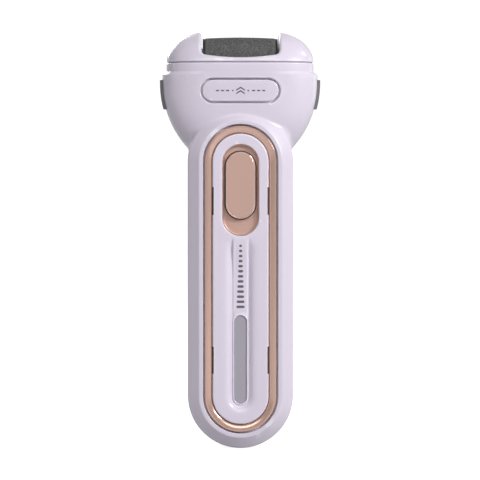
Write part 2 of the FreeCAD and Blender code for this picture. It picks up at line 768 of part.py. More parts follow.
def flatted(name, round_name, flats_name, x, radius, length, flats_x, flat_half):
    """Disc or drum on the motor axis, flattened front and back.

    flats_x holds the low and high x of the block that leaves the flats.
    """
    drum = cylinder_on(MOTOR, round_name, x, radius, length)
    y, z = size["motor_y"], size["motor_z"]
    flats = box(flats_name, flats_x[0], flats_x[1], y - flat_half, y + flat_half,
                z - 11, z + 11)
    return common(name, drum, flats)


def make_motor():
    drum = flatted("CanDrum", "CanRound", "CanFlats", -13.0, 10.0, 25.0, (-13.5, 12.5), 7.6)
    bore = cylinder_on(MOTOR, "CanBore", 10.6, BUSH_RADIUS, 2.0)
    hollow = flatted("CanSpace", "CanHollow", "CanHollowFlats",
                     -14.0, 9.2, 24.6, (-14.5, 11.0), 6.8)
    piece(cut("MotorCan", drum, fuse("CanTools", bore, hollow)), "motor_can")
    disc = flatted("EndDisc", "EndRound", "EndFlats", -15.2, 9.9, 2.1, (-15.6, -12.9), 7.5)
    piece(cut("MotorEndCap", disc, cylinder_on(MOTOR, "EndBore", -14.4, BUSH_BORE, 3.0)),
          "motor_end_cap")
    piece(cut("MotorBush", cylinder_on(MOTOR, "BushBody", 10.6, BUSH_RADIUS, 3.3),
              cylinder_on(MOTOR, "BushBore", 10.0, BUSH_BORE, 5.0)), "motor_bush")
    piece(cylinder_on(MOTOR, "MotorShaft", -14.2, "Sizes.shaft_radius", 39.0), "motor_shaft")
    piece(cut("MotorArmature", cylinder_on(MOTOR, "ArmatureCore", -8.0, 6.0, 15.0),
              cylinder_on(MOTOR, "ArmatureBore", -9.0, "Sizes.shaft_radius", 18.0)),
          "motor_armature")


make_motor()

# ---- gears -----------------------------------------------------------------------------
PRESSURE_ANGLE = math.radians(20)
ADDENDUM, DEDENDUM = 0.92, 1.22     # tooth height above and below the pitch circle, in modules
BACKLASH = 0.06
FLANK_STEPS = 6


def gear_wire(teeth):
    """Closed outline of an involute spur gear in the plane X = 0, one tooth along +Z.

    Fits up to 40 teeth, where the root lies inside the base circle.
    """
    module = size["gear_module"]
    count = int(teeth)
    pitch = module * count / 2.0
    base = pitch * math.cos(PRESSURE_ANGLE)
    tip = pitch + ADDENDUM * module
    root = pitch - DEDENDUM * module
    # half the angle of a tooth at the base circle
    foot = (math.pi / (2 * count) - BACKLASH / (2 * pitch)
            + math.tan(PRESSURE_ANGLE) - PRESSURE_ANGLE)
    tip_roll = math.sqrt(tip * tip / (base * base) - 1)
    flank = [(root, foot)]
    for i in range(FLANK_STEPS + 1):
        roll = tip_roll * i / FLANK_STEPS
        flank.append((base * math.sqrt(1 + roll * roll), foot - (roll - math.atan(roll))))
    polar = []
    for k in range(count):
        middle = 2 * math.pi * k / count
        polar += [(radius, middle - angle) for radius, angle in flank]
        polar += [(radius, middle + angle) for radius, angle in reversed(flank)]
    corners = [Vec(0.0, radius * math.sin(angle), radius * math.cos(angle))
               for radius, angle in polar]
    return Part.makePolygon(corners + [corners[0]])


def gear_blank(name, teeth_alias, x, centre, width, turn):
    """Tooth outline turned about X and extruded by a bound width."""
    outline = doc.addObject("Part::Feature", name + "Outline")
    outline.Shape = Part.Face(gear_wire(size[teeth_alias]))
    outline.Placement = FreeCAD.Placement(Vec(x, 0, 0), FreeCAD.Rotation(Vec(1, 0, 0), turn))
    outline.setExpression("Placement.Base.y", centre[0])
    outline.setExpression("Placement.Base.z", centre[1])
    blank = doc.addObject("Part::Extrusion", name + "Blank")
    blank.Base = outline
    blank.DirMode = "Custom"
    blank.Dir = Vec(1, 0, 0)
    blank.Solid = True
    bind(blank, "LengthFwd", width, name.lower() + "_width")
    return blank


def heading(start, end):
    """Turn about +X that carries +Z onto the line between two centres."""
    across = size[end + "_y"] - size[start + "_y"]
    rise = size[end + "_z"] - size[start + "_z"]
    return math.degrees(math.atan2(-across, rise))


def make_gears():
    """In each pair one tooth and one gap meet on the line of centres."""
    drive = gear_blank("IdlerDrive", "drive_teeth", 18.6, IDLER, 3.1, heading("idler", "roller"))
    wheel = gear_blank("IdlerWheel", "wheel_teeth", 21.7, IDLER, 2.4, heading("idler", "motor"))
    piece(cut("IdlerGear", fuse("IdlerBlank", drive, wheel),
              cylinder_on(IDLER, "IdlerBore", 18.0, 1.05, 8.0)), "idler_gear")
    pinion = gear_blank("Pinion", "pinion_teeth", 21.5, MOTOR, 3.0,
                        heading("motor", "idler") + 180.0 / size["pinion_teeth"])
    piece(cut("MotorPinion", pinion,
              cylinder_on(MOTOR, "PinionBore", 21.0, "Sizes.shaft_radius", 5.0)), "motor_pinion")
    roller_wheel = gear_blank("RollerWheel", "roller_teeth", 18.9, ROLLER, 2.3,
                              heading("roller", "idler") + 180.0 / size["roller_teeth"])
    hub = cylinder_on(ROLLER, "RollerHub", 18.5, 3.0, 0.5)
    piece(cut("RollerGear", fuse("RollerGearBlank", roller_wheel, hub),
              cylinder_on(ROLLER, "RollerGearBore", 18.0, "Sizes.axle_radius", 5.0)),
          "roller_gear")


make_gears()

# ---- gearbox frame and side plates -------------------------------------------------------
FRAME_X0, FRAME_X1 = 12.2, 14.0
SCREW_SIDES = (("A", "+"), ("B", "-"))      # behind and in front of the motor axis
# Upright plates at both ends of the head: x near, x far, y0, y1, z0, z1
PLATE_X = (24.9, 25.7)
PLATE_YZ = (-8.6, 9.4, 136.0, 158.1)

inside_space = feature("InsideSpace", clear_space)


def frame_screw_cylinder(name, sign, x, radius, length):
    y = "Sizes.motor_y %s Sizes.frame_screw_offset" % sign
    return cylinder(name, "X", x, y, MOTOR[1], radius, length)


def make_gearbox_frame():
    """Plate on the gear end of the motor, with two posts out to the cover."""
    y = size["motor_y"]
    plate = box("FramePlate", FRAME_X0, FRAME_X1, y - 9.0, y + 9.2, 128.6, 148.6)
    holes = [cylinder_on(MOTOR, "FrameBore", 12.0, BUSH_RADIUS, 3.0)]
    holes += [frame_screw_cylinder("FrameScrew" + tag, sign, 12.0, 0.9, 3.0)
              for tag, sign in SCREW_SIDES]
    tools = fuse("FrameHoles", *holes)
    posts = fuse("FramePosts", cylinder("PostRear", "X", 13.5, 6.4, 142.6, 1.3, 11.3),
                 cylinder("PostFront", "X", 13.5, -6.6, 142.2, 1.3, 11.3))
    fitted = common("FrameFit", fuse("FrameSolid", plate, posts), inside_space)
    piece(cut("GearboxFrame", fitted, tools), "gearbox_frame")


def make_gearbox_screws():
    screws = []
    for tag, sign in SCREW_SIDES:
        name = "Screw" + tag
        shank = frame_screw_cylinder(name + "Shank", sign, 12.0, 0.85, 2.2)
        head = frame_screw_cylinder(name + "Head", sign, FRAME_X1, 1.7, 1.1)
        screws.append(fuse(name, shank, head))
    piece(group("GearboxScrews", *screws), "gearbox_screws")


def make_end_plates():
    """Gear cover on the right, spring bracket on the left."""
    cover = common("CoverFit", box("CoverPlate", *span(1, *PLATE_X), *PLATE_YZ), inside_space)
    holes = fuse("CoverHoles", cylinder_on(IDLER, "CoverIdlerHole", 24.0, 1.0, 4.0),
                 cylinder_on(MOTOR, "CoverShaftHole", 24.0, 1.6, 4.0))
    piece(cut("GearCover", cover, holes), "gear_cover")
    piece(cylinder_on(IDLER, "IdlerAxle", 18.3, 1.0, 7.4), "idler_axle")
    bracket = box("BracketPlate", *span(-1, *PLATE_X), *PLATE_YZ)
    piece(common("SpringBracket", bracket, inside_space), "spring_bracket")


make_gearbox_frame()
make_gearbox_screws()
make_end_plates()

# ---- dust tray and seal --------------------------------------------------------------------
DECK_LOW, DECK_HIGH = 158.2, 159.6
TROUGH_OUTER, TROUGH_INNER = 11.9, 10.8
TROUGH_HALF = 16.0


def make_dust_tray():
    """Deck across the head, with a trough under the roller and an apron in front."""
    y, z = size["roller_y"], size["roller_z"]
    deck = deck_space.common(slab(-30, 30, DECK_LOW, DECK_HIGH))
    trough = rod("X", -TROUGH_HALF, y, z, TROUGH_OUTER, 2 * TROUGH_HALF)
    trough = trough.common(cuboid(-30, 30, -30, 30, 140, DECK_HIGH)).common(deck_space)
    apron = cuboid(-13.0, 13.0, -9.6, -8.4, 143.2, 155.0)
    tray = deck.fuse([trough, apron]).cut([
        rod("X", -TROUGH_HALF - 0.1, y, z, TROUGH_INNER, 2 * TROUGH_HALF + 0.2),
        # left and right wells beside the trough, then a notch in the front edge
        cuboid(-18.3, -TROUGH_HALF, -14.6, 11.6, 150, 165),
        cuboid(TROUGH_HALF, 24.85, -12.9, 11.3, 150, 165),
        cuboid(-5.8, 5.8, -14.0, -10.2, 154.0, 165),
    ])
    piece(feature("DustTray", biggest(tray)), "dust_tray")


make_dust_tray()
piece(feature("HeadSeal", collar_ring(size["body_top"], 0.75, 1.85,
                                      size["cap_bottom"] - size["body_top"])), "head_seal")

# ---- grinding head cap ------------------------------------------------------------------------
# Outer half width of the cap: (z, half width)
CAP_HALF = (
    (161.25, 30.8), (163.0, 30.65), (164.8, 30.2), (166.4, 29.4), (168.0, 28.3),
    (169.6, 26.8), (171.0, 24.9), (172.2, 22.6), (173.2, 19.9), (173.8, 17.2), (174.1, 14.2))
CAP_DEPTH = 15.0                                # front and back, at the foot
CAP_CURVE_LOW, CAP_CURVE_HEIGHT = 160.5, 13.9   # where the depth starts to close, and over what
CAP_FRONT_POWER, CAP_BACK_POWER = 1.8, 2.2
OPENING_SPLIT_Y = 3.0   # the lip is low in front of this plane and higher behind
OPENING_TOP = 185       # above the cap
OPENING_CORNER = 1.8
CHEEK_OUTER = 17.8      # outer x of the walls beside the roller
BUSH_FIT = 3.0          # radius of the roller bushes and of their bore in the cheeks


def cap_depth(z, power):
    share = max(0.0, (z - CAP_CURVE_LOW) / CAP_CURVE_HEIGHT)
    return CAP_DEPTH * (1 - share ** power) ** (1 / power)


def cap_solid(shrink):
    """Domed cap, its sides shrunk less in depth towards the top."""
    low, top = size["cap_bottom"], size["cap_top"]
    wires = []
    for z, half in CAP_HALF:
        rise = (z - low) / (top - low)
        depth_shrink = shrink * (1 - 0.45 * rise)
        wires.append(section(low + rise * (top - shrink - low), half - shrink,
                             cap_depth(z, CAP_FRONT_POWER) - depth_shrink,
                             cap_depth(z, CAP_BACK_POWER) - depth_shrink, 3.0 - 0.7 * rise))
    return Part.makeLoft(wires, True, False, False)


def opening_prism(y0, y1, middle, corner):
    """Opening seen from the front: sagging lip, rounded lower corners, open top."""
    half = size["opening_half"]
    left_low, right_low = Vec(-half, y0, corner), Vec(half, y0, corner)
    left_top, right_top = Vec(-half, y0, OPENING_TOP), Vec(half, y0, OPENING_TOP)
    wire = Part.Wire([
        Part.Arc(left_low, Vec(0, y0, middle), right_low).toShape(),
        Part.LineSegment(right_low, right_top).toShape(),
        Part.LineSegment(right_top, left_top).toShape(),
        Part.LineSegment(left_top, left_low).toShape()])
    solid = prism(wire, Vec(0, y1 - y0, 0))
    low_edges = [edge for edge in solid.Edges if edge.BoundBox.YLength > (y1 - y0) - 0.1
                 and edge.BoundBox.ZMax < corner + 1.0]
    return solid.makeFillet(OPENING_CORNER, low_edges)


def make_cheeks(cap_outer):
    """Walls beside the roller: the upper part in the cap, discs below it."""
    cheeks = []
    for side in (-1, 1):
        x0, x1 = span(side, size["opening_half"], CHEEK_OUTER)
        upper = cuboid(x0, x1, -30, 30, size["cap_bottom"], 190).common(cap_outer)
        disc = rod("X", x0, size["roller_y"], size["roller_z"], 12.0, x1 - x0)
        disc = disc.common(clear_space).common(slab(-30, 30, 140, size["cap_bottom"] + 0.5))
        cheeks += [upper, disc]
    return cheeks


def make_skirt():
    """Band below the cap, notched at the front middle and low at both ends."""
    skirt = collar_ring(159.9, 2.35, 3.4, 3.0)
    skirt = skirt.cut([cuboid(-6.2, 6.2, -20, 0, 150, 180), slab(-4.6, 4.2, 150, 159)])
    return skirt.common(slab(-30, 30, 150, size["cap_bottom"] + 0.6))


def opening_rim(cap, cap_inner):
    """Edges where the opening meets the outside of the cap."""
    rim = []
    for edge in cap.Edges:
        middle = midpoint(edge)
        beyond = abs(middle.x) > size["opening_half"] + 0.05
        if middle.z < 162.6 or beyond or edge.Length < 0.05:
            continue
        if not borders_spline(cap, edge) or cap_inner.isInside(middle, 0.2, True):
            continue
        if Part.Vertex(middle).distToShape(cap_inner)[0] >= 0.6:
            rim.append(edge)
    return rim


def make_cap():
    cap_outer = cap_solid(0.0)
    cap_inner = cap_solid(size["cap_wall"])
    hollow = cap_outer.cut(cap_inner)
    front_opening = opening_prism(-20, OPENING_SPLIT_Y, size["lip_mid"], size["lip_corner"])
    rear_opening = opening_prism(OPENING_SPLIT_Y, 20.0, size["rear_lip"],
                                 size["rear_lip"] + 0.6)
    cap = hollow.fuse(make_cheeks(cap_outer) + [make_skirt()])
    opening = front_opening.fuse(rear_opening).removeSplitter()
    axle_bore = rod("X", -18.5, size["roller_y"], size["roller_z"], BUSH_FIT, 37.0)
    cap = biggest(cap.cut([opening, axle_bore]))
    cap = soften(cap, opening_rim(cap, cap_inner), (1.2, 1.0, 0.8, 0.6, 0.4))
    foot = [edge for edge in at_height(cap, size["cap_bottom"]) if half_reach(edge) > 30.0]
    cap = soften(cap, foot, (0.4, 0.25))
    piece(feature("HeadCap", cap), "head_cap")


make_cap()
catch = cuboid(-5.0, 5.0, -12.9, -12.4, 155.9, size["cap_bottom"])
catch_window = cuboid(-3.0, 3.0, -14, -12, 156.7, 157.9)
piece(feature("HeadCatch", catch.cut(catch_window)), "head_catch")


# ---- roller ----------------------------------------------------------------------------------
def make_roller_bushes():
    bushes = []
    # side, x of the bush, x of its bore tool
    for side, x, bore_x in (("Left", -18.3, -19), ("Right", 15.9, 15)):
        name = "Bush" + side
        bushes.append(cut(name, cylinder_on(ROLLER, name + "Body", x, BUSH_FIT, 2.4),
                          cylinder_on(ROLLER, name + "Bore", bore_x, 1.55, 4)))
    piece(group("RollerBushes", *bushes), "roller_bushes")


def make_roller_sleeve():
    """Barrel sleeve turned about the roller axis."""
    body = new_body("RollerSleeve")
    sketch = new_sketch(body, "SleeveProfile", "XY_Plane")
    half, bore = size["roller_half"], size["sleeve_bore"]
    radius, crown = size["roller_radius"], size["roller_crown"]
    edge = radius - crown
    left_top, right_top = Vec(-half, edge, 0), Vec(half, edge, 0)
    left_low, right_low = Vec(-half, bore, 0), Vec(half, bore, 0)
    barrel = sketch.addGeometry(Part.Arc(left_top, Vec(0, radius, 0), right_top), False)
    right = sketch.addGeometry(Part.LineSegment(right_top, right_low), False)
    inner = sketch.addGeometry(Part.LineSegment(right_low, left_low), False)
    left = sketch.addGeometry(Part.LineSegment(left_low, left_top), False)
    # arcs run anticlockwise, so the arc starts on the right
    sketch.addConstraint(Constrain("Coincident", barrel, 1, right, 1))
    sketch.addConstraint(Constrain("Coincident", right, 2, inner, 1))
    sketch.addConstraint(Constrain("Coincident", inner, 2, left, 1))
    sketch.addConstraint(Constrain("Coincident", left, 2, barrel, 2))
    sketch.addConstraint(Constrain("Vertical", right))
    sketch.addConstraint(Constrain("Vertical", left))
    sketch.addConstraint(Constrain("Horizontal", inner))
    sketch.addConstraint(Constrain("PointOnObject", barrel, 3, -2))
    name_constraint(sketch, Constrain("DistanceX", -1, 1, inner, 1, half),
                    "half", "Sizes.roller_half")
    name_constraint(sketch, Constrain("DistanceY", -1, 1, inner, 1, bore),
                    "bore", "Sizes.sleeve_bore")
    name_constraint(sketch, Constrain("DistanceY", -1, 1, right, 1, edge),
                    "end_radius", "Sizes.roller_radius - Sizes.roller_crown")
    barrel_radius = (half * half + crown * crown) / (2 * crown)
    name_constraint(
        sketch, Constrain("Radius", barrel, barrel_radius), "barrel",
        "(Sizes.roller_half ^ 2 + Sizes.roller_crown ^ 2) / (2 * Sizes.roller_crown)")
    turned = body.newObject("PartDesign::Revolution", "SleeveTurn")
    turned.Profile = sketch
    turned.ReferenceAxis = (sketch, ["H_Axis"])
    turned.Angle = 360
    body.setExpression("Placement.Base.y", ROLLER[0])
    body.setExpression("Placement.Base.z", ROLLER[1])
    piece(body, "roller_sleeve")


def make_roller_core():
    core = cylinder_on(ROLLER, "CoreBody", "-1 * Sizes.roller_half", "Sizes.sleeve_bore",
                       "2 * Sizes.roller_half")
    bore = cylinder_on(ROLLER, "CoreBore", -20.0, "Sizes.axle_radius", 40.0)
    piece(cut("RollerCore", core, bore), "roller_core")


def make_roller_ends():
    plates = []
    for side, x in (("Left", "-1 * Sizes.roller_half - Sizes.end_plate_thick"),
                    ("Right", "Sizes.roller_half")):
        disc = cylinder_on(ROLLER, "EndCap" + side, x, 9.35, "Sizes.end_plate_thick")
        bore = cylinder_on(ROLLER, "EndCapBore" + side, x + " - 1", "Sizes.axle_radius", 3.0)
        plates.append(cut("EndPlate" + side, disc, bore))
    piece(group("RollerEndCaps", *plates), "roller_end_caps")


make_roller_bushes()
make_roller_sleeve()
make_roller_core()
make_roller_ends()
piece(cylinder_on(ROLLER, "RollerAxle", -19.6, "Sizes.axle_radius", 41.6), "roller_axle")

# ---- slider internals ----------------------------------------------------------------------------
piece(box("SliderCarrier", -5.0, 5.0, -12.75, -11.75, 104.0, 114.6), "slider_carrier")
piece(box("SwitchActuator", -0.8, 0.8, -11.7, -10.95, 109.4, 111.6), "switch_actuator")


# ---- release button --------------------------------------------------------------------------------
def make_release_button():
    """Pill in the front of the head, with a flange and a tongue behind it."""
    pill = biggest(pill_prism(0.0, -12.6, -6).common(head_solid(0.0, OUTER_HEAD_LOW)))
    front_edges = [edge for edge in pill.Edges
                   if edge.BoundBox.YMax < -13.6 and edge.Length > 0.05]
    pill = soften(pill, front_edges, (0.45, 0.3))
    flange = pill_prism(1.5, -12.0, -4).common(
        head_solid(size["wall"] + 0.08, INNER_HEAD_LOW, 158.0))
    tongue = cuboid(-4.5, 4.5, -12.1, -11.4, 150.0, 157.6)
    stub = cuboid(-4.5, 4.5, -12.9, -11.4, 146.0, 153.0)
    button = pill.fuse([flange, tongue, stub])
    piece(feature("ReleaseButton", biggest(button)), "release_button")


def coil(axis, x, y, z, radius, length, turns, wire):
    """Helical spring from (x, y, z) along the axis; wire is the wire's radius."""
    pitch = (length - 2 * wire) / turns
    helix = Part.makeHelix(pitch, pitch * turns, radius - wire)
    circle = Part.Circle(Vec(radius - wire, 0, 0), Vec(0, 1, 0), wire)
    ring = Part.Wire([circle.toShape()])
    spring = Part.Wire(helix.Edges).makePipeShell([ring], True, True)
    spring.Placement = FreeCAD.Placement(Vec(x, y, z) + AXIS[axis] * wire, TURN[axis])
    return spring


make_release_button()
release_coils = [coil("Y", x, -11.95, 147.0, radius=2.0, length=2.3, turns=2, wire=0.33)
                 for x in (-10.0, 10.0)]
piece(feature("ReleaseSprings", Part.makeCompound(release_coils)), "release_springs")

# ---- side buttons ----------------------------------------------------------------------------------
SIDE_FLANGE = 0.9       # flange width round the button
SIDE_TOP = 160.0        # upper level of the forms the buttons are cut from


def make_side_buttons():
    """Curved buttons that stand proud of the head, with a flange inside the wall."""
    proud = head_solid(-size["side_proud"], 121.0, SIDE_TOP)
    flange_outer = head_solid(size["wall"] + 0.1, INNER_HEAD_LOW, SIDE_TOP)
    flange_inner = head_solid(size["wall"] + 1.0, INNER_HEAD_LOW, SIDE_TOP)
    front_y, back_y = size["side_front_y"], size["side_back_y"]
    low, high = size["side_low"], size["side_high"]
    for side, name in ((-1, "Left"), (1, "Right")):
        x0, x1 = span(side, 20, 40)
        strip = proud.cut(flange_inner).common(cuboid(x0, x1, front_y, back_y, low, high))
        flange = flange_outer.cut(flange_inner).common(
            cuboid(x0, x1, front_y - SIDE_FLANGE, back_y + SIDE_FLANGE,
                   low - SIDE_FLANGE, high + SIDE_FLANGE))
        # the lower inside corner is cut away
        corner = cuboid(*span(side, 20, 28.3), -12, 12, 130, 143.4)
        button = strip.fuse(flange).cut(corner)
        piece(feature("SideButton" + name, biggest(button)), "side_button_" + name.lower())


make_side_buttons()
for name, x in (("Right", 25.72), ("Left", -28.62)):
    spring = coil("X", x, -0.7, 148.6, radius=2.3, length=2.9, turns=3, wire=0.3)
    piece(feature("SideSpring" + name, spring), "side_spring_" + name.lower())

# ---- shell screws ------------------------------------------------------------------------------------
SHANK_LENGTH = 13.0
CROSS_LONG, CROSS_THIN = 1.3, 0.22      # half sizes of the drive cross
CROSS_Y = (6.8, 8.0)


def make_shell_screws():
    screws = []
    for i, (x, z) in enumerate(BOSS_SPOTS):
        shank = cylinder("ShellScrewShank%d" % i, "Y", x, size["screw_seat"] - SHANK_LENGTH, z,
                         1.05, SHANK_LENGTH)
        head = cylinder("ShellScrewHead%d" % i, "Y", x, "Sizes.screw_seat", z, 2.2, 1.6)
        bars = [box("ShellScrewCross%s%d" % (tag, i), x - half_x, x + half_x, *CROSS_Y,
                    z - half_z, z + half_z)
                for tag, half_x, half_z in (("A", CROSS_LONG, CROSS_THIN),
                                            ("B", CROSS_THIN, CROSS_LONG))]
        cross = fuse("ShellScrewCross%d" % i, *bars)
        blank = fuse("ShellScrewBlank%d" % i, shank, head)
        screws.append(cut("ShellScrew%d" % i, blank, cross))
    piece(group("ShellScrews", *screws), "shell_screws")


make_shell_screws()
doc.recompute()

# ---- checks and export ---------------------------------------------------------------------------------
problems = ["%s: %s" % (obj.Name, obj.State) for obj in doc.Objects
            if "Invalid" in obj.State or "Error" in obj.State]
for obj in pieces:
    if obj.Shape.isNull():
        problems.append(obj.Label + ": no shape")
    elif not obj.Shape.isValid():
        problems.append(obj.Label + ": not valid")
    elif not obj.Shape.Solids:
        problems.append(obj.Label + ": no solid")
if problems:
    raise SystemExit("build failed:\n" + "\n".join(problems))

os.makedirs("parts", exist_ok=True)
for obj in pieces:
    obj.Shape.exportStep("parts/%s.step" % obj.Label)
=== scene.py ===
# Handheld electric roller file with a lilac and rose gold handle.
# It stands upright along +Z with its front towards -Y and its abrasive roller across the top, along X.
# Shapes are given in millimetres and built in metres; lights, floor and camera are in metres.
import bpy
import bmesh
import json
import math
import random
from collections import Counter
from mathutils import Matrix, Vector, noise
from mathutils.bvhtree import BVHTree
from mathutils.geometry import delaunay_2d_cdt


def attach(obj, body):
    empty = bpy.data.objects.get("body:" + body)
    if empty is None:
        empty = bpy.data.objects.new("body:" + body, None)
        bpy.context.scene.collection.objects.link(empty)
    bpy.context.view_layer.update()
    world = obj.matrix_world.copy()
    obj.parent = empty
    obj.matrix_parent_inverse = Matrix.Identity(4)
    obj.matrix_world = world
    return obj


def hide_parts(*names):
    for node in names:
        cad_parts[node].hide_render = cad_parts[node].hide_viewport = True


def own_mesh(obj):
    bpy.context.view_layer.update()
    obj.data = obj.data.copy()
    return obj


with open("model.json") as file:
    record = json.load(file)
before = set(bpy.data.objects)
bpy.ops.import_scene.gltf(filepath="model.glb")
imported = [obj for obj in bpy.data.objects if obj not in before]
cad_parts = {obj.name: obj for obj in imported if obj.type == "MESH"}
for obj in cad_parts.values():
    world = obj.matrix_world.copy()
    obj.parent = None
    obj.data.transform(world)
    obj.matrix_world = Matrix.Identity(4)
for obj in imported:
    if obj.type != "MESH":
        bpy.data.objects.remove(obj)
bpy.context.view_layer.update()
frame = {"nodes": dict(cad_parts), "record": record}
NODES = frame["nodes"]
MM = 0.001
PI = math.pi

# Upright stadium outlines: radius, height of the lower and of the upper arc centre
PANEL_RADIUS, PANEL_LOW, PANEL_HIGH = 11.65, 22.0, 119.6
TRAY_RADIUS, TRAY_LOW, TRAY_HIGH = 7.6, 96.3, 119.2
LENS_RADIUS, LENS_LOW, LENS_HIGH = 2.65, 21.4, 53.0
KNOB_LOW, KNOB_HIGH = 102.0, 117.6

POCKET_Y = -13.62       # floor of the pocket that holds the ring and the panel

# Notches in the panel's straight sides, as height spans; a clip tab sits in each
NOTCHES = ((97.4, 109.1), (31.2, 42.7))
NOTCH_DEPTH = 0.5
NOTCH_SLANT = 0.12      # height over which a notch reaches its depth


# ------------------------------------------------------------------ shader helpers
def set_inputs(tree, node, inputs):
    """Link or set input sockets, given by name or number."""
    for key, value in inputs.items():
        if isinstance(value, bpy.types.NodeSocket):
            tree.links.new(value, node.inputs[key])
        else:
            node.inputs[key].default_value = value


def add_node(tree, kind, inputs=None, **settings):
    node = tree.nodes.new("ShaderNode" + kind)
    for key, value in settings.items():
        setattr(node, key, value)
    set_inputs(tree, node, inputs or {})
    return node


def new_material(name):
    material = bpy.data.materials.new(name)
    material.use_nodes = True
    tree = material.node_tree
    tree.nodes.clear()
    output = add_node(tree, "OutputMaterial")
    shader = add_node(tree, "BsdfPrincipled")
    tree.links.new(shader.outputs[0], output.inputs[0])
    return material, tree, shader


def srgb(*channels):
    """Linear RGBA from 0-255 sRGB."""
    def linear(channel):
        c = channel / 255.0
        return c / 12.92 if c <= 0.04045 else ((c + 0.055) / 1.055) ** 2.4
    return tuple(linear(channel) for channel in channels) + (1.0,)


def grey(value):
    return (value, value, value, 1.0)


def shaded(colour, factor):
    return tuple(min(1.0, c * factor) for c in colour[:3]) + (1.0,)


def coords(tree, scale=(1.0, 1.0, 1.0)):
    source = add_node(tree, "TexCoord").outputs["Object"]
    return add_node(tree, "Mapping", {0: source, "Scale": scale}).outputs[0]


def noise_tex(tree, vector, scale, detail, rough=0.55):
    inputs = {"Scale": scale, "Detail": detail, "Roughness": rough, "Vector": vector}
    return add_node(tree, "TexNoise", inputs).outputs["Fac"]


def ramp(tree, factor, stops):
    """Colour ramp through stops of (position, colour)."""
    node = add_node(tree, "ValToRGB", {0: factor})
    elements = node.color_ramp.elements
    while len(elements) < len(stops):
        elements.new(0.5)
    for element, (position, colour) in zip(elements, stops):
        element.position = position
        element.color = colour
    return node.outputs[0]


def map_range(tree, value, source, target):
    inputs = {"From Min": source[0], "From Max": source[1],
              "To Min": target[0], "To Max": target[1], "Value": value}
    return add_node(tree, "MapRange", inputs).outputs["Result"]


def bump(tree, height, strength, distance, below=None):
    inputs = {"Strength": strength, "Distance": distance, "Height": height}
    if below is not None:
        inputs["Normal"] = below
    return add_node(tree, "Bump", inputs).outputs[0]


def mix_color(tree, factor, first, second, **settings):
    inputs = {0: factor, 6: first, 7: second}
    return add_node(tree, "Mix", inputs, data_type="RGBA", **settings).outputs[2]


# ------------------------------------------------------------------ materials
def plastic(name, colour, rough, coat, grain, variation, metal=0.0, edge_highlight=None, wave=0.0):
    """Moulded surface: faint clouding, fine grain, an optional painted highlight on convex edges, and
    slow waves.
    """
    material, tree, shader = new_material(name)
    vector = coords(tree)
    cloud = noise_tex(tree, vector, scale=55.0, detail=2.0, rough=0.4)
    base = ramp(tree, cloud, [(0.3, shaded(colour, 1 - variation)),
                              (0.7, shaded(colour, 1 + variation))])
    if edge_highlight:
        # painted highlight: convex edges, creases and rims turn to the paler colour
        pointiness = add_node(tree, "NewGeometry").outputs["Pointiness"]
        edges = map_range(tree, pointiness, source=(0.508, 0.56), target=(0.0, 1.0))
        base = mix_color(tree, edges, base, edge_highlight)
    smudge = noise_tex(tree, vector, scale=240.0, detail=5.0, rough=0.6)
    roughness = map_range(tree, smudge, source=(0.3, 0.7), target=(rough * 0.94, rough * 1.06))
    below = None
    if wave:
        swell = noise_tex(tree, vector, scale=130.0, detail=1.0, rough=0.4)
        below = bump(tree, swell, strength=wave, distance=0.0004)
    fine = noise_tex(tree, vector, scale=2600.0, detail=2.0, rough=0.5)
    set_inputs(tree, shader, {
        "Base Color": base, "Roughness": roughness, "Metallic": metal,
        "Coat Weight": coat, "Coat Roughness": 0.12,
        "Normal": bump(tree, fine, strength=grain, distance=0.00003, below=below)})
    return material


def brushed(name, colour, rough, metal, dark):
    """Rose gold coat: faint cloudiness, and a roughness grain drawn out along the handle."""
    material, tree, shader = new_material(name)
    vector = coords(tree)
    stretched = coords(tree, scale=(1.0, 1.0, 0.2))
    cloud = noise_tex(tree, vector, scale=60.0, detail=3.0)
    base = ramp(tree, cloud, [(0.3, shaded(colour, dark)), (0.7, colour)])
    grain = noise_tex(tree, stretched, scale=400.0, detail=2.0, rough=0.5)
    roughness = map_range(tree, grain, source=(0.25, 0.75), target=(rough * 0.96, rough * 1.04))
    set_inputs(tree, shader, {"Base Color": base, "Roughness": roughness, "Metallic": metal,
                              "Coat Weight": 0.15, "Coat Roughness": 0.2})
    return material


def abrasive(name):
    """Crushed mineral grit in resin: small pale and dark cells."""
    material, tree, shader = new_material(name)
    vector = coords(tree)
    cells = add_node(tree, "TexVoronoi", {"Scale": 4200.0, "Vector": vector})
    channel = add_node(tree, "SeparateColor", {0: cells.outputs["Color"]}).outputs[0]
    grains = ramp(tree, channel, [(0.0, srgb(66, 66, 67)), (0.45, srgb(84, 84, 84)),
                                  (0.8, srgb(98, 98, 97)), (0.96, srgb(124, 123, 121))])
    cloud = noise_tex(tree, vector, scale=180.0, detail=3.0)
    shade = ramp(tree, cloud, [(0.3, grey(0.88)), (0.7, grey(1.08))])
    set_inputs(tree, shader, {
        "Base Color": mix_color(tree, 1.0, grains, shade, blend_type="MULTIPLY"),
        "Roughness": 0.82, "Specular IOR Level": 0.35,
        "Normal": bump(tree, cells.outputs["Distance"], strength=0.7, distance=0.00006)})
    return material


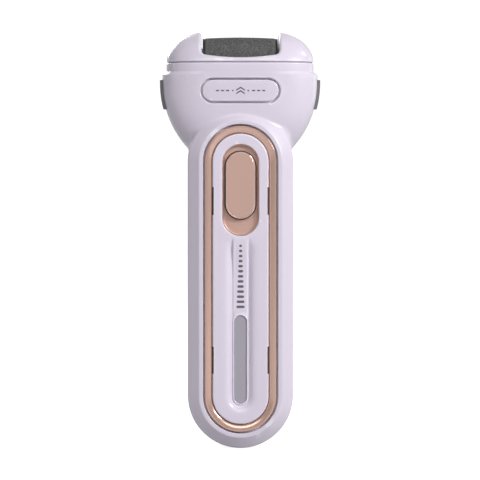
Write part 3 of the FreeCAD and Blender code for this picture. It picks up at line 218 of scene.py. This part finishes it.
# Keys are the frame's material slots, plus keys for the knob chamfer's paler rose gold (a painted
# highlight), the clip tabs' brown (rose gold in painted shade) and ink
materials = {
    # both lilac plastics carry a painted highlight on their convex edges
    "lilac_white": plastic("lilac_gloss", srgb(226, 218, 232), rough=0.30, coat=0.35, grain=0.08,
                           variation=0.006, wave=0.02, edge_highlight=srgb(244, 239, 247)),
    "lilac_panel": plastic("lilac_panel", srgb(232, 223, 238), rough=0.30, coat=0.35, grain=0.08,
                           variation=0.005, edge_highlight=srgb(250, 246, 252)),
    "rose_gold": brushed("rose_gold", srgb(224, 186, 169), rough=0.19, metal=0.60, dark=0.97),
    "rose_gold_satin": brushed("rose_gold_satin", srgb(212, 175, 161),
                               rough=0.36, metal=0.30, dark=0.99),
    # knob chamfer: glossier rose gold, made paler as a painted highlight
    "rose_glint": brushed("rose_gold_glint", srgb(246, 216, 200), rough=0.12, metal=0.85, dark=0.98),
}
# key, material name, sRGB colour, roughness, coat, grain strength, colour variation, metallic
PLASTICS = (
    ("black_plastic", "black_plastic", (42, 42, 44), 0.45, 0.0, 0.4, 0.05, 0.0),
    ("grey_plastic", "grey_plastic", (116, 115, 121), 0.48, 0.0, 0.5, 0.03, 0.0),
    ("dark_grey_plastic", "dark_plastic", (46, 46, 48), 0.5, 0.0, 0.5, 0.04, 0.0),
    # clip tabs: brown as rose gold seen in shade, a painted shade
    ("clip", "clip_plastic", (112, 92, 84), 0.5, 0.0, 0.4, 0.04, 0.0),
    ("grey_rubber", "seal_rubber", (176, 169, 182), 0.7, 0.0, 0.4, 0.03, 0.0),
    ("steel", "plated_steel", (190, 190, 194), 0.28, 0.0, 0.2, 0.02, 1.0),
    ("brass", "brass", (205, 168, 98), 0.3, 0.0, 0.2, 0.03, 1.0),
    ("grey_lens", "smoked_lens", (172, 168, 177), 0.22, 0.6, 0.1, 0.02, 0.0),
    ("board_green", "solder_mask", (24, 92, 52), 0.4, 0.2, 0.2, 0.06, 0.0),
    ("gear_plastic", "acetal", (232, 229, 218), 0.4, 0.0, 0.2, 0.02, 0.0),
    ("clear_plastic", "clear_guide", (225, 225, 230), 0.2, 0.2, 0.1, 0.01, 0.0),
    ("led_white", "led_body", (245, 244, 225), 0.3, 0.2, 0.1, 0.01, 0.0),
    ("cell_wrap", "cell_wrap", (60, 112, 175), 0.35, 0.3, 0.15, 0.03, 0.0),
    ("black_foam", "foam", (45, 45, 47), 0.9, 0.0, 0.9, 0.1, 0.0),
    ("wire_red", "wire_sleeve", (176, 44, 38), 0.45, 0.1, 0.2, 0.04, 0.0),
    ("ink", "print_ink", (104, 100, 108), 0.6, 0.0, 0.3, 0.08, 0.0),
)
for key, name, colour, *finish in PLASTICS:
    materials[key] = plastic(name, srgb(*colour), *finish)
materials["abrasive"] = abrasive("grit")

node_slots = {}
for part in frame["record"]["subparts"]:
    node_slots[part["node"]] = part["material_slot"]
    part_materials = NODES[part["node"]].data.materials
    part_materials.clear()
    part_materials.append(materials[part["material_slot"]])


# ------------------------------------------------------------------ mesh helpers
def make(name, shape, body, slot, replaces=None, material=None, smooth=True):
    """A piece from (points in millimetres, faces); its material is the slot's unless given."""
    points, faces = shape
    mesh = bpy.data.meshes.new(name)
    mesh.from_pydata([(x * MM, y * MM, z * MM) for x, y, z in points], [], faces)
    bm = bmesh.new()
    bm.from_mesh(mesh)
    bmesh.ops.remove_doubles(bm, verts=bm.verts, dist=1e-7)
    bmesh.ops.dissolve_degenerate(bm, dist=1e-7, edges=bm.edges)
    bmesh.ops.recalc_face_normals(bm, faces=bm.faces)
    bm.to_mesh(mesh)
    bm.free()
    for polygon in mesh.polygons:
        polygon.use_smooth = smooth
    mesh.materials.append(materials[material or slot])
    piece = bpy.data.objects.new(name, mesh)
    bpy.context.scene.collection.objects.link(piece)
    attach(piece, body)
    if replaces:
        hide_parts(replaces)
    return piece


def bridge(faces, first, second):
    """Quads between two closed rows of vertex indices."""
    count = len(first)
    for i in range(count):
        j = (i + 1) % count
        faces.append((first[i], first[j], second[j], second[i]))


def stadium(radius, low, high, count):
    """Points (x, z) from the right of the top arc, anticlockwise seen from the front."""
    points = []
    for start, centre in ((0.0, high), (PI, low)):
        for i in range(count + 1):
            angle = start + PI * i / count
            points.append((radius * math.cos(angle), centre + radius * math.sin(angle)))
    return points


def stadium_loft(profile, low, high, count, cap_first=False, cap_last=False, loop=False):
    """Surface through one stadium per profile point (radius, y)."""
    verts, rows = [], []
    for radius, y in profile:
        ring = stadium(radius, low, high, count)
        rows.append(range(len(verts), len(verts) + len(ring)))
        verts += [(x, y, z) for x, z in ring]
    faces = []
    for first, second in zip(rows[:-1], rows[1:]):
        bridge(faces, first, second)
    if loop:
        bridge(faces, rows[-1], rows[0])
    if cap_first:
        faces.append(tuple(rows[0]))
    if cap_last:
        faces.append(tuple(rows[-1]))
    return verts, faces


def arc(centre_radius, centre_y, size, start, end, count):
    """Profile points (radius, y) on a circle; 0 degrees is outward, 90 is to the front (-Y)."""
    angles = [math.radians(start + (end - start) * i / count) for i in range(count + 1)]
    return [(centre_radius + size * math.cos(a), centre_y - size * math.sin(a)) for a in angles]


def smoothstep(start, end, value):
    t = max(0.0, min(1.0, (value - start) / (end - start)))
    return t * t * (3 - 2 * t)


def edge_drop(inset, radius):
    """How far a rounded edge has fallen at a distance in from the border."""
    gap = radius - min(max(inset, 0.0), radius)
    return radius - math.sqrt(radius ** 2 - gap ** 2)


def spine_distance(x, z, low, high):
    """Distance from the vertical segment between two arc centres."""
    return math.hypot(x, z - min(max(z, low), high))


def stepped(start, stop, step):
    """Values from start, short of stop, by repeated addition."""
    value = start
    while (stop - value) * step > 0:
        yield value
        value += step


def dense(outline, step):
    """Closed outline with its sides divided into lengths near the step."""
    points = []
    for i, (x0, z0) in enumerate(outline):
        x1, z1 = outline[(i + 1) % len(outline)]
        count = max(1, int(round(math.hypot(x1 - x0, z1 - z0) / step)))
        for j in range(count):
            points.append((x0 + (x1 - x0) * j / count, z0 + (z1 - z0) * j / count))
    return points


# ------------------------------------------------------------------ trim ring
# (radius, y): outer wall and bead, a crowned face that falls towards the panel, inner wall
RING_PROFILE = [
    (14.8, POCKET_Y), (14.8, -15.85), *arc(14.62, -15.95, 0.18, 8, 90, 5),
    (14.5, -16.13), (14.25, -16.135), (14.0, -16.11), (13.7, -16.055), (13.4, -15.985),
    (13.1, -15.9), (12.8, -15.8), (12.5, -15.675), (12.3, -15.56), (12.14, -15.43),
    (12.03, -15.27), (11.98, -15.1), (11.98, POCKET_Y)]
make("ring_bezel", stadium_loft(RING_PROFILE, PANEL_LOW, PANEL_HIGH, 64, loop=True),
     "body", "rose_gold", "trim_ring")

# ------------------------------------------------------------------ front panel
PANEL_Y = -16.2
PANEL_ROUND = 0.55      # radius of the outer edge
ISLAND_HALF = 3.0       # half width of the raised centre island
ISLAND_EASE = 0.6       # width over which the dish's slope sets in
ISLAND_SIDE = (3.02, 3.42)      # island gives way to the dish between these
ISLAND_DEPTH, ISLAND_DEPTH_LIMIT = 1.72, 1.7
ISLAND_TOP = 71.0       # island rises from here up to the dish's end
DISH_FADE = (81.5, 88.6)        # heights between which the dish runs out
DISH_DEPTH, DISH_SLOPE = 2.10, 0.95
DISH_KNEE = 1.2         # the straight slope turns into an exponential run-out here
DISH_RUNOUT = 1.01
LENS_RIM_HEIGHT = 0.30
LENS_RIM_SIDE = (2.98, 3.42)
LENS_BEVEL, LENS_BEVEL_DEPTH = 0.2, 0.10
TRAY_BEVEL, TRAY_BEVEL_DEPTH = 0.35, 0.3


def panel_y(x, z):
    """Face depth: a dish either side of a low centre island, a raised rim round the lens."""
    across = abs(x) if z > LENS_LOW else math.hypot(x, z - LENS_LOW)
    if across <= ISLAND_HALF:
        run = 0.0
    elif across < ISLAND_HALF + ISLAND_EASE:
        run = (across - ISLAND_HALF) ** 2 / (2 * ISLAND_EASE)
    else:
        run = across - (ISLAND_HALF + ISLAND_EASE / 2)
    if run < DISH_KNEE:
        dish = DISH_DEPTH - DISH_SLOPE * run
    else:
        knee_depth = DISH_DEPTH - DISH_SLOPE * DISH_KNEE
        dish = knee_depth * math.exp(-(run - DISH_KNEE) / DISH_RUNOUT)
    dish *= 1.0 - smoothstep(*DISH_FADE, z)
    island = ISLAND_DEPTH * (1.0 - smoothstep(ISLAND_TOP, DISH_FADE[1], z))
    blend = smoothstep(*ISLAND_SIDE, across)
    y = PANEL_Y + min(island, ISLAND_DEPTH_LIMIT) * (1 - blend) + dish * blend

    from_lens = spine_distance(x, z, LENS_LOW, LENS_HIGH)
    y -= LENS_RIM_HEIGHT * (1 - smoothstep(*LENS_RIM_SIDE, from_lens))
    bevel = LENS_RADIUS + LENS_BEVEL - from_lens
    if bevel > 0:
        y += LENS_BEVEL_DEPTH * (bevel / LENS_BEVEL) ** 2
    from_tray = spine_distance(x, z, TRAY_LOW, TRAY_HIGH) - TRAY_RADIUS
    if from_tray < TRAY_BEVEL:
        y += TRAY_BEVEL_DEPTH * (1 - max(0.0, from_tray) / TRAY_BEVEL) ** 2
    inset = PANEL_RADIUS - spine_distance(x, z, PANEL_LOW, PANEL_HIGH)
    return y + edge_drop(inset, PANEL_ROUND)


def notched_outline():
    """Panel outline with two shallow notches on each straight side."""
    def side(sign):
        edge = sign * PANEL_RADIUS
        sunk = sign * (PANEL_RADIUS - NOTCH_DEPTH)
        points = []
        for low, high in sorted(NOTCHES):
            points += [(edge, low), (sunk, low + NOTCH_SLANT),
                       (sunk, high - NOTCH_SLANT), (edge, high)]
        return points
    count = 60
    outline = stadium(PANEL_RADIUS, PANEL_LOW, PANEL_HIGH, count)
    return outline[:count + 1] + side(-1)[::-1] + outline[count + 1:] + side(1)


def clear_of_borders(x, z, margin):
    """Whether a point is on the panel, at least a margin from every border."""
    if spine_distance(x, z, PANEL_LOW, PANEL_HIGH) > PANEL_RADIUS - margin:
        return False
    if (abs(x) > PANEL_RADIUS - NOTCH_DEPTH - margin
            and any(low - margin < z < high + margin for low, high in NOTCHES)):
        return False
    if spine_distance(x, z, TRAY_LOW, TRAY_HIGH) < TRAY_RADIUS + margin:
        return False
    return not spine_distance(x, z, LENS_LOW, LENS_HIGH) < LENS_RADIUS + margin


def on_panel(x, z):
    """Whether a triangle centred here belongs to the panel."""
    if spine_distance(x, z, PANEL_LOW, PANEL_HIGH) > PANEL_RADIUS - 1e-4:
        return False
    if abs(x) > PANEL_RADIUS - NOTCH_DEPTH and any(low < z < high for low, high in NOTCHES):
        return False
    return (spine_distance(x, z, TRAY_LOW, TRAY_HIGH) > TRAY_RADIUS
            and spine_distance(x, z, LENS_LOW, LENS_HIGH) > LENS_RADIUS)


# radius, low, high, arc segments, point spacing, offsets of the point rows from the border
BORDER_ROWS = (
    (PANEL_RADIUS, PANEL_LOW, PANEL_HIGH, 60, 0.6, (-0.14, -0.3, -0.45, -0.62)),
    (TRAY_RADIUS, TRAY_LOW, TRAY_HIGH, 40, 0.6, (0.12, 0.24, 0.38)),
    (LENS_RADIUS, LENS_LOW, LENS_HIGH, 24, 0.5, (0.1, 0.2, 0.33, 0.44, 0.54, 0.64, 0.76)),
)
# Distances from the centre line of the rows that follow the island and the dish
DISH_ROWS = (3.04, 3.14, 3.22, 3.32, 3.42, 3.55, 3.75, 4.0, 4.3, 4.7, 5.2, 5.8, 6.5, 7.3,
             8.1, 8.9, 9.7, 10.4, 10.8)


def panel_triangulation():
    """Plan points (x, z) and triangles, closest together where the relief turns."""
    points, edges = [], []

    def add_border(outline):
        base, count = len(points), len(outline)
        points.extend(Vector(p) for p in outline)
        edges.extend((base + i, base + (i + 1) % count) for i in range(count))

    def add_points(candidates, margin, lens_clearance=0.0):
        for x, z in candidates:
            if (clear_of_borders(x, z, margin)
                    and spine_distance(x, z, LENS_LOW, LENS_HIGH) > lens_clearance):
                points.append(Vector((x, z)))

    add_border(dense(notched_outline(), 0.6))
    add_border(dense(stadium(TRAY_RADIUS, TRAY_LOW, TRAY_HIGH, 40), 0.6))
    add_border(dense(stadium(LENS_RADIUS, LENS_LOW, LENS_HIGH, 24), 0.6))
    for radius, low, high, count, step, offsets in BORDER_ROWS:
        for offset in offsets:
            add_points(dense(stadium(radius + offset, low, high, count), step), margin=0.1)
    for radius in DISH_ROWS:
        row = [(x, z) for z in stepped(96.0, LENS_LOW, -0.8) for x in (radius, -radius)]
        count = max(8, int(PI * radius / 0.7))
        for i in range(count + 1):
            angle = PI + PI * i / count
            row.append((radius * math.cos(angle), LENS_LOW + radius * math.sin(angle)))
        add_points(row, margin=0.7 if radius > 9 else 0.12, lens_clearance=3.44)
    # island above the lens
    for x in (0.0, 0.9, 1.8, 2.7):
        for z in stepped(57.2, 87.5, 0.8):
            add_points([(x, z), (-x, z)] if x else [(x, z)], margin=0.4)
    # flat round the tray
    for z in stepped(96.5, 131, 0.9):
        add_points([(x, z) for x in stepped(-11.0, 11.0, 0.9)], margin=0.75)

    plan, _, triangles, *_ = delaunay_2d_cdt(points, edges, [], 0, 1e-5)
    kept = []
    for triangle in triangles:
        x = sum(plan[i].x for i in triangle) / 3
        z = sum(plan[i].y for i in triangle) / 3
        if on_panel(x, z):
            kept.append(tuple(triangle))
    return plan, kept


def panel_shape():
    plan, faces = panel_triangulation()
    verts = [(p.x, panel_y(p.x, p.y), p.y) for p in plan]
    # walls down to the pocket floor from every open edge
    uses = Counter(tuple(sorted((t[i], t[(i + 1) % 3]))) for t in faces for i in range(3))
    rim = [edge for edge, count in uses.items() if count == 1]
    below = {}
    for edge in rim:
        for corner in edge:
            if corner not in below:
                x, y, z = verts[corner]
                below[corner] = (len(verts), len(verts) + 1)
                verts += [(x, min(y + 0.12, -13.7), z), (x, POCKET_Y, z)]
    for a, b in rim:
        faces.append((a, b, below[b][0], below[a][0]))
        faces.append((below[a][0], below[b][0], below[b][1], below[a][1]))
    return verts, faces


panel = make("panel_relief", panel_shape(), "body", "lilac_panel", "front_panel")
panel.data.set_sharp_from_angle(angle=math.radians(48))


# ------------------------------------------------------------------ clip tabs in the notches
def clip_tab(side, low, high):
    """Low block with its ends drawn back; side is -1 for left, 1 for right."""
    near, far = side * 11.35, side * 11.93
    back, shoulder, front = -13.7, -14.5, -14.7
    verts, faces = [], []
    for z, inset in ((low + 0.2, 0.12), (low + 0.5, 0.0), (high - 0.5, 0.0), (high - 0.2, 0.12)):
        verts += [(near, back, z), (near, shoulder + inset, z),
                  (near + side * 0.15, front + inset, z), (far - side * 0.1, front + inset, z),
                  (far, shoulder, z), (far, back, z)]
        # the far shoulder follows the same inset
        verts[-2] = (far, shoulder + inset, z)
    for section in range(0, 18, 6):
        for i in range(section, section + 5):
            faces.append((i, i + 1, i + 7, i + 6))
    faces += [tuple(range(6)), tuple(range(18, 24))]
    return verts, faces


# the tabs' brown stands for rose gold in shade: painted shade in the notches
for side, letter in ((-1, "l"), (1, "r")):
    for number, (low, high) in enumerate(NOTCHES, 1):
        make("ring_clip_%s%d" % (letter, number), clip_tab(side, low, high),
             "body", "dark_grey_plastic", material="clip")

# ------------------------------------------------------------------ switch tray
# (radius, y): outer wall, rounded lip, inner wall and floor
TRAY_PROFILE = [
    (7.5, -13.02), (7.5, -15.58), *arc(7.38, -15.62, 0.12, 10, 90, 4),
    (7.26, -15.70), (7.18, -15.60), (7.13, -15.4), (7.12, -14.5),
    (7.08, -14.2), (6.95, -14.06), (6.7, -14.0), (6.2, -14.0)]
make("switch_well", stadium_loft(TRAY_PROFILE, TRAY_LOW, TRAY_HIGH, 48, cap_last=True),
     "body", "rose_gold_satin", "switch_tray")

# ------------------------------------------------------------------ slide knob
# (radius, y): side, chamfer and nearly flat front
KNOB_PROFILE = [
    (6.0, -14.3), (6.12, -14.34), (6.16, -14.5), (6.1, -16.4),
    *arc(6.04, -16.5, 0.06, 5, 45, 3), (5.95, -16.67), (5.62, -17.03),
    *arc(5.50, -17.07, 0.08, 45, 90, 3), (5.3, -17.15), (5.0, -17.15), (4.2, -17.15),
    (3.0, -17.14), (1.5, -17.12), (0.02, -17.12)]
CHAMFER_BACK_Y = -0.01648       # metres; the chamfer faces that get the painted highlight lie in front of this
CHAMFER_NORMAL = (0.15, 0.93)   # and their normals' y part is between these
knob = make("knob_cap",
            stadium_loft(KNOB_PROFILE, KNOB_LOW, KNOB_HIGH, 48, cap_first=True, cap_last=True),
            "slider", "rose_gold_satin", "slider_knob")
# the chamfer faces take the paler rose gold: a painted highlight
knob.data.materials.append(materials["rose_glint"])
for polygon in knob.data.polygons:
    tilt = abs(polygon.normal.y)
    if polygon.center.y < CHAMFER_BACK_Y and CHAMFER_NORMAL[0] < tilt < CHAMFER_NORMAL[1]:
        polygon.material_index = 1

# dark ring round the knob's foot: a painted shadow line between knob and tray
KNOB_SHADOW_RING_PROFILE = [(5.6, -14.02), (6.5, -14.02), (6.62, -14.08), (6.62, -14.28),
                 (6.5, -14.36), (5.6, -14.36)]
make("knob_shadow_ring", stadium_loft(KNOB_SHADOW_RING_PROFILE, KNOB_LOW, KNOB_HIGH, 48, loop=True),
     "slider", "dark_grey_plastic")

STEM_PROFILE = [(2.2, -12.8), (2.2, -14.25), (2.2, -14.35)]
make("knob_stem", stadium_loft(STEM_PROFILE, 106.0, 112.6, 16, cap_first=True, cap_last=True),
     "slider", "rose_gold_satin")

# ------------------------------------------------------------------ charge window
WINDOW_PROFILE = [(2.6, -13.70), (2.6, -14.05), *arc(2.5, -14.08, 0.1, 5, 85, 4),
                  (2.3, -14.19), (1.6, -14.2), (0.8, -14.21), (0.01, -14.21)]
make("charge_window",
     stadium_loft(WINDOW_PROFILE, LENS_LOW, LENS_HIGH, 28, cap_first=True, cap_last=True),
     "body", "grey_lens", "indicator_lens")

# ------------------------------------------------------------------ roller sleeve with grit
ROLLER_Y, ROLLER_Z = -1.0, 161.8
SLEEVE_HALF = 14.9      # half length along X
SLEEVE_RADIUS = 10.0    # at the middle
SLEEVE_CROWN = 0.45     # loss of radius from the middle to the ends
SLEEVE_ROUND = 0.55
SLEEVE_BORE = 8.03
GRIT_DEPTH = 0.05
SLEEVE_STEPS, SLEEVE_SEGMENTS = 130, 300
random.seed(7)          # fixed seed; the grit itself comes from positional noise


def sleeve_shape():
    turns = [2 * PI * j / SLEEVE_SEGMENTS for j in range(SLEEVE_SEGMENTS)]
    circle = [(math.cos(a), math.sin(a)) for a in turns]
    verts, faces, rows = [], [], []

    def add_row(x, radii):
        rows.append(range(len(verts), len(verts) + SLEEVE_SEGMENTS))
        for radius, (c, s) in zip(radii, circle):
            verts.append((x, ROLLER_Y + radius * c, ROLLER_Z + radius * s))

    for i in range(SLEEVE_STEPS + 1):
        u = -1 + 2 * i / SLEEVE_STEPS
        x = SLEEVE_HALF * u
        inset = SLEEVE_HALF - abs(x)
        base = SLEEVE_RADIUS - SLEEVE_CROWN * u * u - edge_drop(inset, SLEEVE_ROUND) - GRIT_DEPTH
        if inset <= 0.1:
            base -= 0.03
        radii = []
        for c, s in circle:
            spot = Vector((x * 3.1, c * 31, s * 31))
            grit = noise.noise(spot) * 0.6 + noise.noise(spot * 2.3) * 0.4
            radii.append(base + GRIT_DEPTH * grit)
        add_row(x, radii)
    for first, second in zip(rows[:-1], rows[1:]):
        bridge(faces, first, second)
    # flat ends down to the bore
    for end, side in ((rows[0], -1), (rows[SLEEVE_STEPS], 1)):
        add_row(side * SLEEVE_HALF, [SLEEVE_BORE] * SLEEVE_SEGMENTS)
        bridge(faces, end, rows[-1])
    return verts, faces


make("grit_sleeve", sleeve_shape(), "roller", "abrasive", "roller_sleeve")


# ------------------------------------------------------------------ printed marks
def mark(name, outlines, surface_y, body):
    """Each outline [(x, z)] becomes a thin plate whose face follows surface_y."""
    lift, sink = 0.035, 0.06
    verts, faces = [], []
    for outline in outlines:
        count = len(outline)
        front = range(len(verts), len(verts) + count)
        back = range(front.stop, front.stop + count)
        verts += [(x, surface_y(x, z) - lift, z) for x, z in outline]
        verts += [(x, surface_y(x, z) + sink, z) for x, z in outline]
        faces += [tuple(front), tuple(reversed(back))]
        bridge(faces, front, back)
    make(name, (verts, faces), body, "dark_grey_plastic", material="ink", smooth=False)


def bar(x, z, width, height, radius):
    """Rounded bar centred at (x, z)."""
    radius = min(radius, width / 2 - 0.001, height / 2 - 0.001)
    dx, dz = width / 2 - radius, height / 2 - radius
    points = []
    for cx, cz, start in ((dx, dz, 0), (-dx, dz, 90), (-dx, -dz, 180), (dx, -dz, 270)):
        for i in range(6):
            angle = math.radians(start + 90 * i / 5)
            points.append((x + cx + radius * math.cos(angle), z + cz + radius * math.sin(angle)))
    return points


def chevron(x, z, width, height, thick):
    """Upward chevron; its upper edge is centred at (x, z)."""
    left, right = x - width / 2, x + width / 2
    foot, peak = z - height / 2, z + height / 2
    return [(left, foot), (x, peak), (right, foot),
            (right, foot - thick), (x, peak - thick), (left, foot - thick)]


def front_of(node):
    """Function that gives the y of a CAD node's front face at (x, z)."""
    mesh = NODES[node].data
    tree = BVHTree.FromPolygons([tuple(v.co) for v in mesh.vertices],
                                [tuple(p.vertices) for p in mesh.polygons])

    def surface_y(x, z):
        hit = tree.ray_cast(Vector((x * MM, -0.05, z * MM)), Vector((0, 1, 0)))[0]
        return hit.y / MM if hit is not None else -15.0
    return surface_y


# Column on the island: dots at the top that widen into bars downwards
LEVEL_COUNT, LEVEL_TOP, LEVEL_PITCH = 13, 84.6, 2.12
levels = [bar(0.0, LEVEL_TOP - LEVEL_PITCH * k, 1.1 + 2.3 * k / (LEVEL_COUNT - 1), 1.05, 0.5)
          for k in range(LEVEL_COUNT)]
mark("level_marks", levels, panel_y, "body")

# Row on the release button: dashes and a dot either side of two chevrons
ROW_Z = 149.1
row = []
for k in range(3):
    for side in (-1, 1):
        row.append(bar(side * (9.6 - 2.1 * k), ROW_Z, 1.35, 0.62, 0.3))
for z in (150.15, 148.75):
    row.append(chevron(0.0, z, 3.6, 1.15, 0.62))
for x in (-3.2, 3.2):
    row.append(bar(x, ROW_Z, 0.7, 0.7, 0.34))
mark("lift_marks", row, front_of("release_button"), "release_button")


# ------------------------------------------------------------------ button springs
def coils(starts, along_x, radius, length, turns, wire):
    """Helical springs of round wire from each start, along +X or else along +Y."""
    ring_count, per_turn = 10, 26
    helix = radius - wire
    travel = length - 2 * wire
    pitch = travel / (2 * PI * turns)
    total = turns * per_turn
    verts, faces = [], []
    for x, y, z in starts:
        rows = []
        for i in range(total + 1):
            u = i / total
            angle = 2 * PI * turns * u
            c, s = math.cos(angle), math.sin(angle)
            tangent = Vector((pitch, -helix * s, helix * c)).normalized()
            outward = Vector((0.0, c, s))
            sideways = tangent.cross(outward)
            centre = Vector((wire + travel * u, helix * c, helix * s))
            rows.append(range(len(verts), len(verts) + ring_count))
            for k in range(ring_count):
                q = 2 * PI * k / ring_count
                p = centre + (outward * math.cos(q) + sideways * math.sin(q)) * wire
                dx, dy = (p.x, p.y) if along_x else (p.y, p.x)
                verts.append((x + dx, y + dy, z + p.z))
        for first, second in zip(rows[:-1], rows[1:]):
            bridge(faces, first, second)
        faces += [tuple(rows[0]), tuple(reversed(rows[-1]))]
    return verts, faces


# Two behind the release button
RELEASE_END_Y, RELEASE_Z, RELEASE_LENGTH = -9.65, 147.0, 2.3
starts = [(x, RELEASE_END_Y - RELEASE_LENGTH, RELEASE_Z) for x in (-10.0, 10.0)]
spring = make("button_coils",
              coils(starts, False, radius=2.0, length=RELEASE_LENGTH, turns=2, wire=0.3),
              "body", node_slots["release_springs"], "release_springs", "steel")
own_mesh(spring)

# One in each side
SIDE_X, SIDE_Y, SIDE_Z, SIDE_LENGTH = 25.72, -0.7, 148.6, 2.9
for tag, start_x, anchor in (("right", SIDE_X, SIDE_X), ("left", -SIDE_X - SIDE_LENGTH, -SIDE_X)):
    spring = make("side_coil_" + tag,
                  coils([(start_x, SIDE_Y, SIDE_Z)], True,
                        radius=2.3, length=SIDE_LENGTH, turns=3, wire=0.28),
                  "body", node_slots["side_spring_" + tag], "side_spring_" + tag, "steel")
    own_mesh(spring)


# ------------------------------------------------------------------ lights
def area(name, place, size, power, size_y=None, aim_z=0.09):
    """Area light aimed at a height on the Z axis."""
    light = bpy.data.lights.new(name, "AREA")
    light.energy = power
    light.size = size
    if size_y:
        light.shape = "RECTANGLE"
        light.size_y = size_y
    lamp = bpy.data.objects.new(name, light)
    bpy.context.scene.collection.objects.link(lamp)
    lamp.location = place
    aim = Vector((0, 0, aim_z)) - Vector(place)
    lamp.rotation_euler = aim.to_track_quat("-Z", "Y").to_euler()


area("key", (0.69, -0.62, 0.48), size=0.24, power=5.9)
area("front_top", (-0.02, -0.86, 0.56), size=0.85, power=2.2, size_y=0.26)
area("left_fill", (-0.98, -0.34, 0.26), size=0.7, power=0.80, aim_z=0.12)
area("back_key", (-0.42, 0.86, 0.55), size=0.5, power=4.2)
area("back_right", (0.80, 0.55, 0.20), size=0.5, power=0.6)
area("rim_right", (0.66, 0.02, 0.72), size=0.16, power=0.75, aim_z=0.11)


# ------------------------------------------------------------------ world
def build_world():
    """White to the camera; to all else a dimmer tint that pales from left to right."""
    world = bpy.data.worlds.new("studio")
    bpy.context.scene.world = world
    world.use_nodes = True
    tree = world.node_tree
    tree.nodes.clear()
    output = add_node(tree, "OutputWorld")
    background = add_node(tree, "Background")
    direction = add_node(tree, "TexCoord").outputs["Generated"]
    across = add_node(tree, "SeparateXYZ", {0: direction}).outputs[0]
    tint = ramp(tree, map_range(tree, across, source=(-1.0, 1.0), target=(0.0, 1.0)),
                [(0.0, (0.80, 0.78, 0.82, 1)), (0.35, (0.86, 0.84, 0.88, 1)),
                 (0.65, (0.95, 0.93, 0.96, 1)), (1.0, (1.0, 0.98, 1.0, 1))])
    to_camera = add_node(tree, "LightPath").outputs["Is Camera Ray"]
    set_inputs(tree, background, {
        0: mix_color(tree, to_camera, tint, grey(1.0)),
        1: map_range(tree, to_camera, source=(0.0, 1.0), target=(0.345, 1.02))})
    tree.links.new(background.outputs[0], output.inputs[0])


build_world()


# ------------------------------------------------------------------ floor
def floor_paper():
    """Pale paper that glows to the camera and in reflections, and bounces little light."""
    material, tree, shader = new_material("floor_paper")
    vector = coords(tree)
    cloud = noise_tex(tree, vector, scale=14.0, detail=4.0)
    paper = ramp(tree, cloud, [(0.3, (0.70, 0.70, 0.71, 1)), (0.7, (0.72, 0.72, 0.73, 1))])
    to_camera = add_node(tree, "LightPath").outputs["Is Camera Ray"]
    base = mix_color(tree, to_camera, (0.30, 0.30, 0.31, 1.0), paper)
    rays = add_node(tree, "LightPath").outputs
    glow = add_node(tree, "Math", {
        0: map_range(tree, rays["Is Camera Ray"], source=(0.0, 1.0), target=(0.02, 0.85)),
        1: map_range(tree, rays["Is Glossy Ray"], source=(0.0, 1.0), target=(0.0, 0.45)),
    }, operation="ADD")
    fibre = noise_tex(tree, vector, scale=900.0, detail=2.0)
    set_inputs(tree, shader, {
        "Base Color": base, "Roughness": 0.9, "Specular IOR Level": 0.0,
        "Emission Color": grey(1.0), "Emission Strength": glow.outputs[0],
        "Normal": bump(tree, fibre, strength=0.1, distance=0.0002)})
    return material


def build_floor():
    """Seamless paper: a floor that sweeps up behind."""
    bend_y, bend = 1.1, 0.8     # where the sweep starts, and its radius
    drop = 0.0004               # the paper lies this far below z = 0
    profile = [(y, 0.0) for y in (-2.4, -1.2, -0.5, 0.0, 0.5, bend_y)]
    for i in range(1, 17):
        angle = i / 16 * PI / 2
        profile.append((bend_y + bend * math.sin(angle), bend - bend * math.cos(angle)))
    profile.append((bend_y + bend, 2.6))
    mesh = bpy.data.meshes.new("floor")
    bm = bmesh.new()
    rows = [[bm.verts.new((x, y, z - drop)) for x in (-3.2, -1.0, 1.0, 3.2)] for y, z in profile]
    for near, far in zip(rows[:-1], rows[1:]):
        for i in range(3):
            bm.faces.new((near[i], near[i + 1], far[i + 1], far[i]))
    bm.to_mesh(mesh)
    bm.free()
    for polygon in mesh.polygons:
        polygon.use_smooth = True
    floor = bpy.data.objects.new("floor", mesh)
    bpy.context.scene.collection.objects.link(floor)
    mesh.materials.append(floor_paper())


build_floor()

# ------------------------------------------------------------------ camera
AZIMUTH, ELEVATION = math.radians(-0.9), math.radians(1.6)
TARGET = Vector((0.0, 0.0, 0.0866))
VIEW_SPAN = 0.174 / 0.86        # seen across the sensor's width at the target
camera_data = bpy.data.cameras.new("camera")
camera = bpy.data.objects.new("camera", camera_data)
scene = bpy.context.scene
scene.collection.objects.link(camera)
camera_data.lens = 200.0
camera_data.sensor_width = 36.0
direction = Vector((math.sin(AZIMUTH) * math.cos(ELEVATION),
                    -math.cos(AZIMUTH) * math.cos(ELEVATION), math.sin(ELEVATION)))
distance = VIEW_SPAN * camera_data.lens / camera_data.sensor_width
camera.location = TARGET + direction * distance
camera.rotation_euler = (-direction).to_track_quat("-Z", "Y").to_euler()
scene.camera = camera
scene.view_settings.view_transform = "Standard"
scene.view_settings.look = "None"
